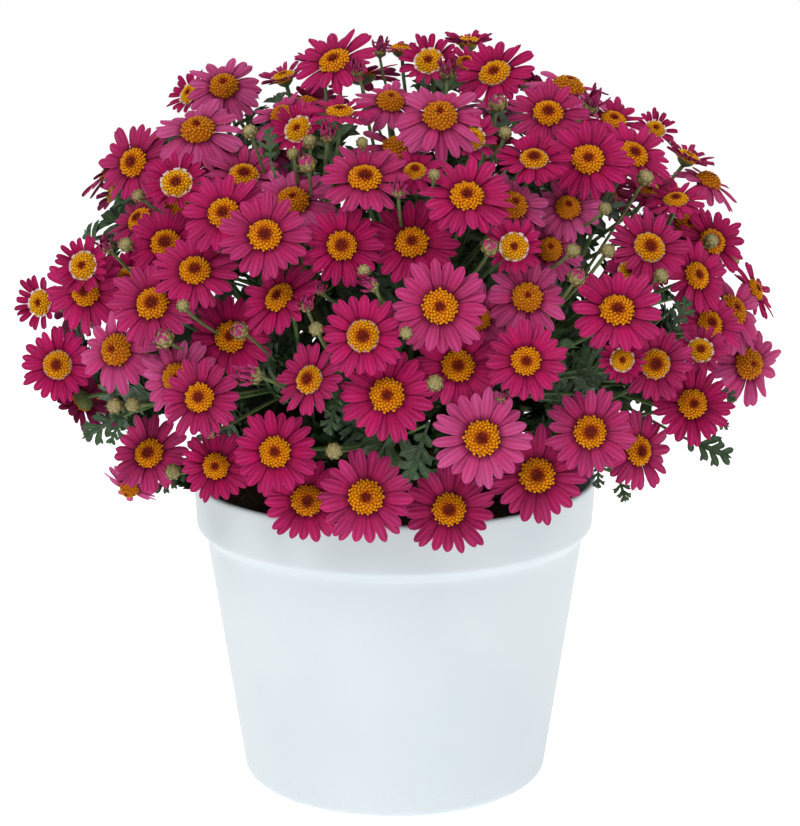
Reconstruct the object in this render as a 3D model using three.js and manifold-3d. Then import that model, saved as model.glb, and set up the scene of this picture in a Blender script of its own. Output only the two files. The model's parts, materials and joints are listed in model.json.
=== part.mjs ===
// A potted marguerite daisy: a white plastic pot, its soil, a short woody stem and the leafy flowering sprays.
// Millimetres, +Z up, the pot's axis on Z and its underside at Z = 0. The front of the plant looks along -Y.
import * as THREE from 'three';
import { ConvexHull } from 'three/addons/math/ConvexHull.js';
import { mergeVertices } from 'three/addons/utils/BufferGeometryUtils.js';
import Module from 'manifold-3d';

const wasm = await Module();
wasm.setup();

// Driving sizes of the pot.
const POT_HEIGHT = 172;
const RIM_RADIUS = 112.3;
const COLLAR_RADIUS = 111;
const COLLAR_LOW = 145.5;
const SHOULDER_LOW = 139.5;
const BODY_TOP_RADIUS = 105.8;
const BODY_FOOT_RADIUS = 86.1;
const EDGE_ROUND = 4.5;
const WALL = 2.6;
const FLOOR = 3;
const POT_SIDES = 36;
const DRAIN_RADIUS = 5;
const DRAIN_CIRCLE = 52;
const DRAIN_COUNT = 4;

// Driving sizes of the soil and the woody stem.
const FIT_GAP = 0.35;
const SOIL_TOP = 158;
const STEM_HOLE_RADIUS = 9.4;
const STEM_HOLE_FLOOR = 108;
const TRUNK_RADIUS = 8.9;
const HUB_HEIGHT = 181;
const CROWN_RADIUS = 14;
const BRANCH_REACH = 34;
const BRANCH_RADIUS = 2.6;
const SHOOT_RADIUS = 2.3;
const JOINT_GAP = 0.3;

// The leafy crown of the plant: the flower heads lie on a dome with these half-axes.
const DOME_CENTRE_HEIGHT = 255;
const DOME_WIDE = 190;
const DOME_DEEP = 175;
const DOME_UP = 150;
const DOME_DOWN = 110;
const SPRAY_COUNT = 28;
const CORE_SHARE = 0.55;
const CORE_RADIUS = 15;
const ENTRY_RADIUS = 11;
const ENTRY_SPREAD = 0.36;
const SHOOT_SPREAD = 0.46;
const SPREAD_PASSES = 300;
const TOUCH_VOLUME = 0.001;
const CORE_LOWEST = 196;
const BACK_TRIES = 190;
const BACK_SPACING = 37;
const PUSH_STEP = 2;
const PUSH_TRIES = 60;
const LEAVES_PER_SPRAY = 1;

// The viewpoint from which the front flower heads were placed, in millimetres and picture points.
const VIEW = { x: 3, distance: 1200, height: 481.7, pitch: 0.226, focal: 2207, midU: 400, midV: 413 };
const MEAN_DEPTH = 1170;

// Ages of a flower head: petals of the low model, height of the tips, the disc and its dome.
const AGES = {
  full: { petals: 8, tip: 0.05, disc: 0.36, dome: 3.2 },
  mid: { petals: 8, tip: 0.08, disc: 0.37, dome: 3.0 },
  young: { petals: 8, tip: 0.28, disc: 0.46, dome: 3.0 },
  aged: { petals: 8, tip: -0.14, disc: 0.36, dome: 6.0 },
  tuft: { petals: 5, tip: 0.95, disc: 0.55, dome: 2.5 },
  pink: { petals: 4, tip: 0.1, disc: 0.62, dome: 7.0 },
  bud: { petals: 3, tip: 0.0, disc: 0.65, dome: 4.5 },
};

// A flower head seen from the front: place in the picture, radius in millimetres, how far it faces
// right and up, its age and the layer it lies in, counted from the front.
function seen(u, v, radius, right, up, age, layer, away = 1) {
  return { u, v, radius, right, up, age, layer, away };
}

// Flower heads on the top of the crown.
const TOP_HEADS = [
  seen(335, 62, 24.0, -0.30, 0.60, 'full', 0),
  seen(340, 113, 20.0, 0.00, 0.88, 'mid', 0),
  seen(390, 103, 20.0, 0.10, 0.65, 'aged', 1),
  seen(198, 131, 25.0, -0.10, 0.60, 'aged', 0),
  seen(365, 179, 25.5, 0.00, 0.60, 'full', 0),
  seen(293, 202, 24.0, 0.00, 0.50, 'aged', 2),
  seen(495, 74, 22.5, -0.30, 0.55, 'mid', 0),
  seen(440, 117, 25.5, 0.00, 0.50, 'aged', 0),
  seen(472, 139, 14.5, 0.10, 0.35, 'young', 0),
  seen(548, 114, 22.5, 0.00, 0.50, 'full', 0),
  seen(534, 160, 20.0, 0.00, 0.65, 'mid', 0),
  seen(588, 160, 24.0, 0.00, 0.35, 'full', 0),
  seen(467, 197, 25.5, 0.00, 0.50, 'full', 0),
  seen(676, 201, 17.5, -0.10, 0.80, 'mid', 0),
  seen(134, 163, 22.5, -0.45, 0.20, 'full', 0),
  seen(177, 184, 17.5, -0.10, 0.40, 'young', 0),
  seen(224, 214, 24.0, -0.10, 0.30, 'full', 1),
  seen(224, 87, 21.0, 0.00, 0.45, 'aged', 1),
  seen(284, 78, 13.5, -0.30, 0.85, 'young', 1),
  seen(299, 130, 16.0, -0.45, 0.35, 'young', 1),
  seen(429, 62, 16.0, -0.20, 0.40, 'young', 1),
  seen(568, 88, 24.0, 0.25, 0.85, 'aged', 1),
  seen(512, 206, 22.5, 0.30, 0.40, 'aged', 1),
  seen(568, 208, 18.5, 0.00, 0.30, 'aged', 1),
  seen(613, 121, 20.0, 0.20, 0.70, 'full', 1),
  seen(655, 130, 11.5, 0.20, 0.50, 'young', 1),
  seen(633, 155, 22.5, 0.30, 0.50, 'full', 1),
  seen(687, 158, 14.5, 0.40, 0.85, 'young', 1),
  seen(708, 183, 20.0, 0.45, 0.80, 'aged', 1),
  seen(191, 94, 13.5, -0.60, 0.40, 'young', 1),
  seen(397, 150, 24.0, 0.30, 0.80, 'aged', 2),
  seen(244, 176, 21.0, 0.10, 0.60, 'mid', 2),
  seen(403, 50, 17.0, 0.10, 0.95, 'mid', 2),
  seen(283, 117, 18.5, -0.20, 0.60, 'aged', 2),
  seen(468, 43, 14.0, 0.00, 0.95, 'young', 2),
  seen(466, 64, 15.0, 0.00, 0.70, 'mid', 2),
  seen(140, 220, 20.0, -0.55, 0.50, 'full', 2),
  seen(176, 208, 18.5, -0.20, 0.60, 'aged', 2),
  seen(415, 172, 16.0, 0.00, 0.60, 'mid', 3),
  seen(648, 190, 16.0, 0.20, 0.60, 'mid', 3),
  seen(212, 160, 16.0, -0.10, 0.50, 'mid', 3),
];

// Flower heads on the middle of the crown.
const MIDDLE_HEADS = [
  seen(84, 266, 16.0, -0.30, 0.10, 'young', 0),
  seen(58, 365, 20.5, -0.15, 0.00, 'mid', 0),
  seen(195, 271, 23.5, 0.00, 0.40, 'full', 0),
  seen(265, 236, 25.0, 0.00, 0.30, 'full', 0),
  seen(342, 246, 22.5, 0.00, 0.10, 'full', 0),
  seen(412, 243, 25.0, 0.00, 0.30, 'full', 0),
  seen(280, 298, 24.0, -0.50, 0.50, 'full', 0),
  seen(363, 336, 23.0, 0.00, 0.00, 'mid', 0),
  seen(310, 380, 21.0, -0.50, 0.25, 'mid', 0),
  seen(440, 307, 26.5, 0.00, 0.00, 'full', 0),
  seen(514, 247, 16.0, 0.00, 0.05, 'young', 0),
  seen(526, 361, 22.0, 0.00, 0.00, 'full', 0),
  seen(649, 248, 22.5, 0.25, 0.35, 'mid', 0),
  seen(700, 351, 14.5, 0.10, 0.40, 'young', 0),
  seen(748, 364, 23.0, 0.45, 0.00, 'aged', 0),
  seen(622, 360, 13.0, 0.00, 0.00, 'young', 0),
  seen(617, 311, 26.0, 0.00, 0.45, 'full', 0),
  seen(86, 290, 24.0, -0.35, -0.10, 'full', 1),
  seen(117, 350, 24.0, -0.40, 0.10, 'aged', 1),
  seen(153, 304, 25.0, -0.20, 0.25, 'full', 1),
  seen(166, 244, 22.5, -0.10, 0.35, 'full', 1),
  seen(231, 337, 24.0, -0.15, 0.15, 'full', 1),
  seen(527, 298, 22.5, 0.05, 0.25, 'aged', 1),
  seen(458, 366, 24.5, 0.00, 0.10, 'full', 1),
  seen(655, 364, 21.0, 0.10, 0.00, 'mid', 1),
  seen(712, 242, 20.0, 0.35, 0.30, 'full', 1),
  seen(696, 276, 21.0, 0.50, 0.20, 'full', 1),
  seen(731, 311, 24.0, 0.50, 0.35, 'aged', 1),
  seen(709, 324, 21.0, 0.40, 0.30, 'full', 1),
  seen(631, 273, 15.0, 0.10, 0.50, 'young', 1),
  seen(41, 303, 15.0, -0.50, 0.00, 'young', 2),
  seen(754, 290, 17.0, 0.75, 0.40, 'full', 2),
  seen(478, 318, 19.0, 0.00, 0.00, 'aged', 2),
  seen(550, 250, 18.5, 0.00, 0.30, 'aged', 2),
  seen(686, 226, 17.5, 0.30, 0.30, 'aged', 2),
  seen(178, 378, 22.5, -0.20, 0.10, 'aged', 2),
  seen(128, 278, 16.0, -0.20, 0.10, 'mid', 3),
];

// Flower heads on the lower edge, over the pot.
const LOWER_HEADS = [
  seen(200, 398, 22.5, -0.20, 0.20, 'full', 0),
  seen(150, 454, 22.5, -0.30, 0.30, 'full', 0),
  seen(366, 497, 26.5, 0.00, 0.00, 'full', 0),
  seen(387, 395, 26.0, 0.00, 0.00, 'full', 0),
  seen(482, 438, 27.0, 0.00, 0.00, 'full', 0),
  seen(537, 475, 26.5, 0.00, 0.00, 'full', 0),
  seen(590, 432, 24.5, 0.00, 0.00, 'full', 0),
  seen(692, 404, 22.5, 0.20, 0.10, 'full', 0),
  seen(216, 466, 20.0, -0.10, 0.00, 'full', 1),
  seen(275, 452, 23.5, 0.00, 0.05, 'full', 1),
  seen(307, 500, 24.0, 0.10, -0.10, 'full', 1),
  seen(449, 509, 25.0, 0.00, -0.05, 'full', 1),
  seen(638, 451, 22.5, 0.55, 0.00, 'full', 1),
  seen(82, 401, 18.5, -0.70, -0.45, 'full', 1, -1),
  seen(130, 487, 15.0, -0.30, -0.75, 'aged', 2),
];

// Opening heads and buds in front of the others.
const SMALL_HEADS = [
  seen(380, 50, 6.5, 0.10, 0.80, 'tuft', -1),
  seen(357, 70, 6.5, -0.10, 0.60, 'tuft', -1),
  seen(327, 135, 7.0, 0.00, 0.50, 'tuft', -1),
  seen(398, 190, 6.5, 0.00, 0.60, 'tuft', -1),
  seen(448, 70, 8.5, 0.10, 0.50, 'tuft', -1),
  seen(592, 104, 9.0, 0.30, 0.60, 'tuft', -1),
  seen(210, 431, 7.5, 0.00, 0.20, 'tuft', -1),
  seen(252, 375, 9.5, -0.70, 0.10, 'tuft', -1),
  seen(306, 305, 7.0, 0.00, 0.40, 'tuft', -1),
  seen(371, 285, 7.0, -0.60, 0.20, 'tuft', -1),
  seen(107, 247, 6.5, -0.30, 0.40, 'tuft', -1),
  seen(320, 290, 5.0, 0.00, 0.30, 'tuft', -1),
  seen(502, 397, 5.0, 0.20, 0.20, 'tuft', -1),
  seen(307, 164, 5.3, -0.20, 0.60, 'pink', -1),
  seen(498, 103, 5.3, 0.00, 0.60, 'pink', -1),
  seen(164, 339, 5.8, -0.30, 0.40, 'pink', -1),
  seen(240, 331, 5.3, -0.40, 0.20, 'pink', -1),
  seen(490, 247, 5.3, 0.00, 0.50, 'pink', -1),
  seen(577, 277, 5.3, 0.20, 0.60, 'pink', -1),
  seen(310, 142, 4.2, 0.00, 0.50, 'bud', -1),
  seen(250, 132, 4.2, -0.20, 0.60, 'bud', -1),
  seen(293, 154, 3.4, -0.10, 0.50, 'bud', -1),
  seen(362, 143, 3.4, 0.00, 0.50, 'bud', -1),
  seen(505, 133, 3.7, 0.10, 0.50, 'bud', -1),
  seen(434, 175, 3.4, 0.00, 0.50, 'bud', -1),
  seen(645, 178, 4.8, 0.20, 0.50, 'bud', -1),
  seen(605, 209, 3.7, 0.10, 0.50, 'bud', -1),
  seen(139, 196, 3.7, -0.30, 0.40, 'bud', -1),
  seen(126, 245, 4.2, -0.30, 0.40, 'bud', -1),
  seen(183, 306, 3.7, -0.10, 0.40, 'bud', -1),
  seen(364, 271, 3.7, 0.00, 0.40, 'bud', -1),
  seen(316, 329, 4.2, 0.00, 0.20, 'bud', -1),
  seen(573, 251, 4.2, 0.10, 0.40, 'bud', -1),
  seen(435, 383, 4.8, 0.00, 0.20, 'bud', -1),
  seen(406, 333, 3.7, 0.00, 0.20, 'bud', -1),
  seen(711, 241, 4.2, 0.30, 0.40, 'bud', -1),
  seen(733, 258, 4.2, 0.40, 0.40, 'bud', -1),
  seen(608, 251, 4.2, 0.10, 0.40, 'bud', -1),
  seen(661, 276, 4.2, 0.20, 0.40, 'bud', -1),
  seen(115, 406, 4.6, -0.10, 0.10, 'bud', -1),
  seen(133, 405, 4.4, 0.00, 0.10, 'bud', -1),
  seen(173, 472, 4.6, 0.10, 0.20, 'bud', -1),
  seen(334, 451, 4.8, -0.10, 0.10, 'bud', -1),
];

// Large leaves that show between the heads: from the foot of the blade to its tip in the picture,
// and how many millimetres behind the dome.
function leafSeen(fromU, fromV, toU, toV, behind) {
  return { fromU, fromV, toU, toV, behind };
}

const SEEN_LEAVES = [
  leafSeen(128, 411, 80, 440, 0),
  leafSeen(122, 416, 109, 446, 4),
  leafSeen(680, 436, 734, 459, 6),
  leafSeen(704, 420, 731, 427, 3),
  leafSeen(618, 474, 626, 504, 8),
  leafSeen(598, 464, 598, 491, 12),
  leafSeen(428, 424, 408, 485, 10),
  leafSeen(440, 524, 395, 549, 22),
  leafSeen(338, 400, 326, 436, 16),
  leafSeen(271, 162, 268, 126, 6),
  leafSeen(668, 336, 690, 297, 12),
  leafSeen(712, 386, 738, 402, 8),
  leafSeen(190, 470, 152, 490, 8),
  leafSeen(560, 400, 540, 350, 22),
  leafSeen(600, 395, 580, 345, 24),
  leafSeen(455, 172, 466, 150, 14),
];

// Short vector helpers on plain triples.
const add = (a, b) => [a[0] + b[0], a[1] + b[1], a[2] + b[2]];
const sub = (a, b) => [a[0] - b[0], a[1] - b[1], a[2] - b[2]];
const mul = (a, s) => [a[0] * s, a[1] * s, a[2] * s];
const dot = (a, b) => a[0] * b[0] + a[1] * b[1] + a[2] * b[2];
const size = (a) => Math.sqrt(dot(a, a));
const unit = (a) => mul(a, 1 / size(a));
const mix = (a, b, t) => [a[0] + (b[0] - a[0]) * t, a[1] + (b[1] - a[1]) * t, a[2] + (b[2] - a[2]) * t];
function cross(a, b) {
  return [a[1] * b[2] - a[2] * b[1], a[2] * b[0] - a[0] * b[2], a[0] * b[1] - a[1] * b[0]];
}

// A seeded draw between 0 and 1 for item i and purpose k.
function draw(i, k) {
  let s = (i * 7919 + k * 104729 + 12345) >>> 0;
  for (let n = 0; n < 3; n += 1) s = (Math.imul(s, 1664525) + 1013904223) >>> 0;
  return s / 4294967296;
}

const PITCH_COS = Math.cos(VIEW.pitch);
const PITCH_SIN = Math.sin(VIEW.pitch);
const VIEW_PLACE = [VIEW.x, -VIEW.distance, VIEW.height];
const VIEW_RIGHT = [1, 0, 0];
const VIEW_UP = [0, PITCH_SIN, PITCH_COS];
const VIEW_AHEAD = [0, PITCH_COS, -PITCH_SIN];
const HUB = [0, 0, HUB_HEIGHT];

// The direction in which a picture point is seen.
function sight(u, v) {
  const side = mul(VIEW_RIGHT, (u - VIEW.midU) / VIEW.focal);
  const rise = mul(VIEW_UP, (VIEW.midV - v) / VIEW.focal);
  return unit(add(VIEW_AHEAD, add(side, rise)));
}

// A place in the dome's own measure: length 1 on the dome.
function domed(p) {
  const up = p[2] - DOME_CENTRE_HEIGHT;
  return [p[0] / DOME_WIDE, p[1] / DOME_DEEP, up / (up > 0 ? DOME_UP : DOME_DOWN)];
}

// How far along a line of sight the dome is met, or passed most closely.
function domeDepth(direction) {
  let best = 900;
  let least = Infinity;
  for (let t = 900; t < 1400; t += 1) {
    const away = size(domed(add(VIEW_PLACE, mul(direction, t))));
    if (away <= 1) return t;
    if (away < least) {
      least = away;
      best = t;
    }
  }
  return best;
}

// Two thin discs keep clear of each other when no spoke of one comes near or through the other.
function spokesClear(a, b) {
  const side = unit(cross(a.face, Math.abs(a.face[2]) < 0.9 ? [0, 0, 1] : [1, 0, 0]));
  const other = cross(a.face, side);
  const gap = a.half + b.half;
  const h0 = dot(sub(a.place, b.place), b.face);
  for (let k = 0; k < 12; k += 1) {
    const angle = (k * Math.PI) / 6;
    const spoke = add(mul(side, Math.cos(angle)), mul(other, Math.sin(angle)));
    for (const share of [0, 0.5, 1]) {
      const q = sub(add(a.place, mul(spoke, a.radius * share)), b.place);
      const h = dot(q, b.face);
      const out = size(sub(q, mul(b.face, h)));
      if (Math.abs(h) < gap && out < b.radius + 1) return false;
    }
    const q1 = sub(add(a.place, mul(spoke, a.radius)), b.place);
    const h1 = dot(q1, b.face);
    if (h0 * h1 < 0) {
      const q = add(sub(a.place, b.place), mul(spoke, (a.radius * h0) / (h0 - h1)));
      if (size(q) < b.radius + 1) return false;
    }
  }
  return true;
}

function discsClear(a, b) {
  if (size(sub(a.place, b.place)) > a.radius + b.radius + 8) return true;
  return spokesClear(a, b) && spokesClear(b, a);
}

// A straight piece of stalk keeps clear of a disc.
function stalkClear(from, to, disc, thick) {
  const h0 = dot(sub(from, disc.place), disc.face);
  const h1 = dot(sub(to, disc.place), disc.face);
  if (h0 * h1 < 0) {
    const q = sub(mix(from, to, h0 / (h0 - h1)), disc.place);
    if (size(q) < disc.radius + thick) return false;
  }
  for (let k = 0; k <= 8; k += 1) {
    const q = sub(mix(from, to, k / 8), disc.place);
    const h = dot(q, disc.face);
    const out = size(sub(q, mul(disc.face, h)));
    if (Math.abs(h) < disc.half + thick && out < disc.radius + thick) return false;
  }
  return true;
}

// A disc keeps clear of the pot and its soil.
function potClear(disc) {
  const side = unit(cross(disc.face, Math.abs(disc.face[2]) < 0.9 ? [0, 0, 1] : [1, 0, 0]));
  const other = cross(disc.face, side);
  for (let k = 0; k < 12; k += 1) {
    const angle = (k * Math.PI) / 6;
    const spoke = add(mul(side, Math.cos(angle)), mul(other, Math.sin(angle)));
    for (const share of [0, 0.5, 1]) {
      const q = add(disc.place, mul(spoke, disc.radius * share));
      if (q[2] < POT_HEIGHT + 4 && Math.hypot(q[0], q[1]) < RIM_RADIUS + 5) return false;
    }
  }
  return true;
}

function halfThickness(age) {
  if (age === 'bud' || age === 'pink') return 3.2;
  if (age === 'tuft') return 3.2;
  if (age === 'aged' || age === 'young') return 2.6;
  return 1.9;
}

// Places the heads seen from the front, nearest layer first, each pushed back until it is clear.
function placeFront() {
  const rows = [...SMALL_HEADS, ...TOP_HEADS, ...MIDDLE_HEADS, ...LOWER_HEADS];
  const order = rows.map((row, i) => i).sort((i, j) => rows[i].layer - rows[j].layer || i - j);
  const heads = [];
  for (const i of order) {
    const row = rows[i];
    const line = sight(row.u, row.v);
    const start = domeDepth(line) + Math.max(row.layer, -0.6) * 6;
    const ahead = row.away * Math.sqrt(Math.max(0, 1 - row.right * row.right - row.up * row.up));
    const face = unit(add(mul(VIEW_RIGHT, row.right), add(mul(VIEW_UP, row.up), mul(VIEW_AHEAD, -ahead))));
    const head = { face, age: row.age, half: halfThickness(row.age), index: heads.length, front: true };
    let found = false;
    for (let n = 0; n < PUSH_TRIES && !found; n += 1) {
      const depth = start + n * PUSH_STEP;
      head.place = add(VIEW_PLACE, mul(line, depth));
      head.radius = (row.radius * depth) / MEAN_DEPTH;
      found = potClear(head) && heads.every((other) => discsClear(head, other));
      head.pushed = n;
    }
    if (!found && row.layer > 1) continue;
    if (!found) {
      head.place = add(VIEW_PLACE, mul(line, start + 20));
      head.tight = true;
    }
    head.index = heads.length;
    heads.push(head);
  }
  return heads;
}

// Fills the far side of the dome with heads at the turns of a golden-angle spiral.
function placeBack(heads) {
  const turn = Math.PI * (3 - Math.sqrt(5));
  for (let k = 0; k < BACK_TRIES; k += 1) {
    const rise = 0.97 - (1.52 * (k + 0.5)) / BACK_TRIES;
    const flat = Math.sqrt(1 - rise * rise);
    const way = [flat * Math.cos(turn * k), flat * Math.sin(turn * k), rise];
    const level = DOME_CENTRE_HEIGHT + rise * (rise > 0 ? DOME_UP : DOME_DOWN);
    const place = [way[0] * DOME_WIDE, way[1] * DOME_DEEP, level];
    if (place[1] < 12) continue;
    const near = heads.some((other) => size(sub(other.place, place)) < BACK_SPACING);
    if (near || place[2] < 186) continue;
    const lean = [draw(k, 1) - 0.5, draw(k, 2) - 0.5, draw(k, 3) - 0.2];
    const face = unit(add(unit(mul(way, 1)), mul(lean, 0.5)));
    const pick = draw(k, 4);
    const age = pick < 0.55 ? 'full' : pick < 0.75 ? 'aged' : pick < 0.9 ? 'mid' : 'young';
    const radius = age === 'young' ? 15 : 21 + 4 * draw(k, 5);
    const head = { face, age, radius, half: halfThickness(age), front: false, index: heads.length };
    let found = false;
    for (let n = 0; n < 18 && !found; n += 1) {
      head.place = sub(place, mul(way, n * 2));
      found = potClear(head) && heads.every((other) => discsClear(head, other));
    }
    if (found) heads.push(head);
  }
}

// The middle directions of the sprays, spread evenly over the dome down to its lower edge.
function sprayDirections() {
  const turn = Math.PI * (3 - Math.sqrt(5));
  const ways = [];
  for (let k = 0; k < SPRAY_COUNT; k += 1) {
    const rise = 0.96 - (1.5 * (k + 0.5)) / SPRAY_COUNT;
    const flat = Math.sqrt(1 - rise * rise);
    ways.push([flat * Math.cos(turn * k + 0.6), flat * Math.sin(turn * k + 0.6), rise]);
  }
  return ways;
}

function isSmall(head) {
  return head.age === 'bud' || head.age === 'pink' || head.age === 'tuft';
}

// The stalk of a head from under its calyx to the core of its spray, kept above the pot's rim.
function stalkPath(head, core) {
  const back = isSmall(head) ? head.radius * 0.5 : 2;
  const reach = isSmall(head) ? 9 : 13;
  const first = sub(head.place, mul(head.face, back));
  const knee = mix(sub(head.place, mul(head.face, reach)), core, 0.08);
  const path = [first, knee];
  let low = false;
  for (let k = 0; k <= 10; k += 1) {
    const q = mix(knee, core, k / 10);
    if (q[2] < POT_HEIGHT + 4.5 && Math.hypot(q[0], q[1]) < RIM_RADIUS + 4) low = true;
  }
  if (low) {
    const out = Math.hypot(knee[0], knee[1]);
    const over = (RIM_RADIUS + 5) / out;
    path.push([knee[0] * over, knee[1] * over, POT_HEIGHT + 9]);
  }
  const last = path[path.length - 1];
  path.push(mix(core, last, Math.min(0.5, (CORE_RADIUS * 0.6) / size(sub(last, core)))));
  return path;
}

// The least distance between two straight pieces, found on a fine grid of places along both.
function piecesApart(a, b, c, d) {
  let least = Infinity;
  for (let i = 0; i <= 10; i += 1) {
    const p = mix(a, b, i / 10);
    for (let j = 0; j <= 10; j += 1) least = Math.min(least, size(sub(p, mix(c, d, j / 10))));
  }
  return least;
}

function pathHitsDisc(path, disc) {
  for (let k = 0; k + 1 < path.length; k += 1) {
    if (!stalkClear(path[k], path[k + 1], disc, 1.8)) return true;
  }
  return false;
}

function pathHitsPath(one, two) {
  for (let i = 0; i + 1 < one.length; i += 1) {
    for (let j = 0; j + 1 < two.length; j += 1) {
      if (piecesApart(one[i], one[i + 1], two[j], two[j + 1]) < 4.5) return true;
    }
  }
  return false;
}

// How many heads of other sprays a head would cross if it grew from the given spray.
function crossings(head, spray, heads, cores) {
  const path = stalkPath(head, cores[spray]);
  let count = 0;
  for (const other of heads) {
    if (other === head || other.spray === spray) continue;
    const otherPath = stalkPath(other, cores[other.spray]);
    if (pathHitsDisc(path, other)) count += 1;
    if (pathHitsDisc(otherPath, head)) count += 1;
    if (size(sub(other.place, head.place)) < 170 && pathHitsPath(path, otherPath)) count += 1;
    if (!discsClear(head, other)) count += 1;
  }
  return count;
}

// Gives every head to a spray and finds the core of each spray.
function gatherSprays(heads) {
  const ways = sprayDirections();
  const large = heads.filter((head) => !isSmall(head));
  for (const head of large) {
    const way = unit(domed(head.place));
    head.spray = 0;
    ways.forEach((other, k) => {
      if (dot(way, other) > dot(way, ways[head.spray])) head.spray = k;
    });
  }
  for (const head of heads) {
    if (!isSmall(head)) continue;
    let nearest = large[0];
    for (const other of large) {
      if (size(sub(other.place, head.place)) < size(sub(nearest.place, head.place))) nearest = other;
    }
    head.spray = nearest.spray;
  }
  const cores = ways.map((way, k) => {
    let sum = [0, 0, 0];
    let count = 0;
    for (const head of large) {
      if (head.spray !== k) continue;
      sum = add(sum, head.place);
      count += 1;
    }
    const middle = count ? mul(sum, 1 / count) : add(HUB, mul(way, 120));
    const core = add(HUB, mul(sub(middle, HUB), CORE_SHARE));
    core[2] = Math.max(core[2], CORE_LOWEST);
    return core;
  });
  for (let pass = 0; pass < 3; pass += 1) {
    for (const head of heads) {
      let best = crossings(head, head.spray, heads, cores);
      if (best === 0) continue;
      const choices = ways.map((way, k) => k);
      choices.sort((i, j) => size(sub(cores[i], head.place)) - size(sub(cores[j], head.place)) || i - j);
      for (const k of choices.slice(0, 5)) {
        const count = crossings(head, k, heads, cores);
        if (count < best) {
          best = count;
          head.spray = k;
        }
      }
    }
  }
  return cores;
}

// Leaves: a lobed blade is tested as three small discs along its middle line.
function leafDiscs(leaf) {
  const discs = [];
  for (const [along, radius] of [[0.48, 0.27], [0.76, 0.25], [0.96, 0.1]]) {
    const place = add(leaf.foot, mul(leaf.way, leaf.length * along));
    discs.push({ place, face: leaf.face, radius: leaf.length * radius, half: 1.0 });
  }
  return discs;
}

// True when a leaf keeps clear of every head, of the other sprays' stalks and cores, and of the pot.
function leafClear(leaf, heads, cores, leaves, ownHeads) {
  const discs = leafDiscs(leaf);
  const stalk = [cores[leaf.spray], leaf.foot];
  for (const disc of discs) {
    if (!potClear(disc)) return false;
    for (let k = 0; k < cores.length; k += 1) {
      if (k === leaf.spray) continue;
      if (size(sub(cores[k], disc.place)) < CORE_RADIUS + disc.radius + 2) return false;
      if (!stalkClear(HUB, cores[k], disc, SHOOT_RADIUS)) return false;
    }
    for (const other of leaves) {
      if (other.spray === leaf.spray) continue;
      if (!leafDiscs(other).every((place) => discsClear(disc, place))) return false;
      if (!stalkClear(cores[other.spray], other.foot, disc, 1.5)) return false;
    }
  }
  for (const other of leaves) {
    if (other.spray === leaf.spray) continue;
    if (!leafDiscs(other).every((place) => stalkClear(stalk[0], stalk[1], place, 1.5))) return false;
  }
  for (const head of heads) {
    const own = head.spray === leaf.spray;
    if (own && !ownHeads) continue;
    if (size(sub(head.place, leaf.foot)) > 140) continue;
    if (!own && !stalkClear(stalk[0], stalk[1], head, 1.5)) return false;
    if (!discs.every((disc) => discsClear(disc, head))) return false;
    if (own) continue;
    const path = stalkPath(head, cores[head.spray]);
    if (discs.some((disc) => pathHitsDisc(path, disc))) return false;
    if (pathHitsPath(path, stalk)) return false;
  }
  return true;
}

// Places the leaves that were seen, and then a few round the core of each spray.
function placeLeaves(heads, cores) {
  const leaves = [];
  for (const row of SEEN_LEAVES) {
    const line = sight(row.fromU, row.fromV);
    const tipLine = sight(row.toU, row.toV);
    const start = domeDepth(line) + row.behind;
    let done = false;
    for (let n = 0; n < 16 && !done; n += 1) {
      const foot = add(VIEW_PLACE, mul(line, start + n * 3));
      const tip = add(VIEW_PLACE, mul(tipLine, start + n * 3));
      const way = unit(sub(tip, foot));
      const side = unit(cross(way, mul(VIEW_AHEAD, -1)));
      const leaf = { foot, way, face: cross(side, way), length: size(sub(tip, foot)), seen: true };
      const choices = cores.map((core, k) => k);
      choices.sort((i, j) => size(sub(cores[i], foot)) - size(sub(cores[j], foot)) || i - j);
      for (const k of choices.slice(0, 4)) {
        leaf.spray = k;
        if (leafClear(leaf, heads, cores, leaves, true)) {
          leaves.push(leaf);
          done = true;
          break;
        }
      }
    }
  }
  for (let n = 0; n < LEAVES_PER_SPRAY; n += 1) {
    for (let k = 0; k < cores.length; k += 1) {
      const axis = unit(sub(cores[k], HUB));
      const e1 = unit(cross(axis, Math.abs(axis[2]) < 0.9 ? [0, 0, 1] : [1, 0, 0]));
      const e2 = cross(axis, e1);
      for (let attempt = 0; attempt < 40; attempt += 1) {
        const turn = 2 * Math.PI * draw(k * 41 + attempt, 20 + n);
        const lean = 0.35 + 1.0 * draw(k * 41 + attempt, 30 + n);
        const out = add(mul(e1, Math.cos(turn)), mul(e2, Math.sin(turn)));
        const way = unit(add(mul(axis, Math.cos(lean)), mul(out, Math.sin(lean))));
        const side = unit(cross(way, axis));
        const foot = add(cores[k], mul(way, 16 + 22 * draw(k * 41 + attempt, 40 + n)));
        const length = 34 + 12 * draw(k * 41 + attempt, 50 + n);
        const leaf = { foot, way, face: unit(cross(side, way)), length, spray: k, seen: false };
        if (leafClear(leaf, heads, cores, leaves, true)) {
          leaves.push(leaf);
          break;
        }
      }
    }
  }
  return leaves;
}

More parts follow.
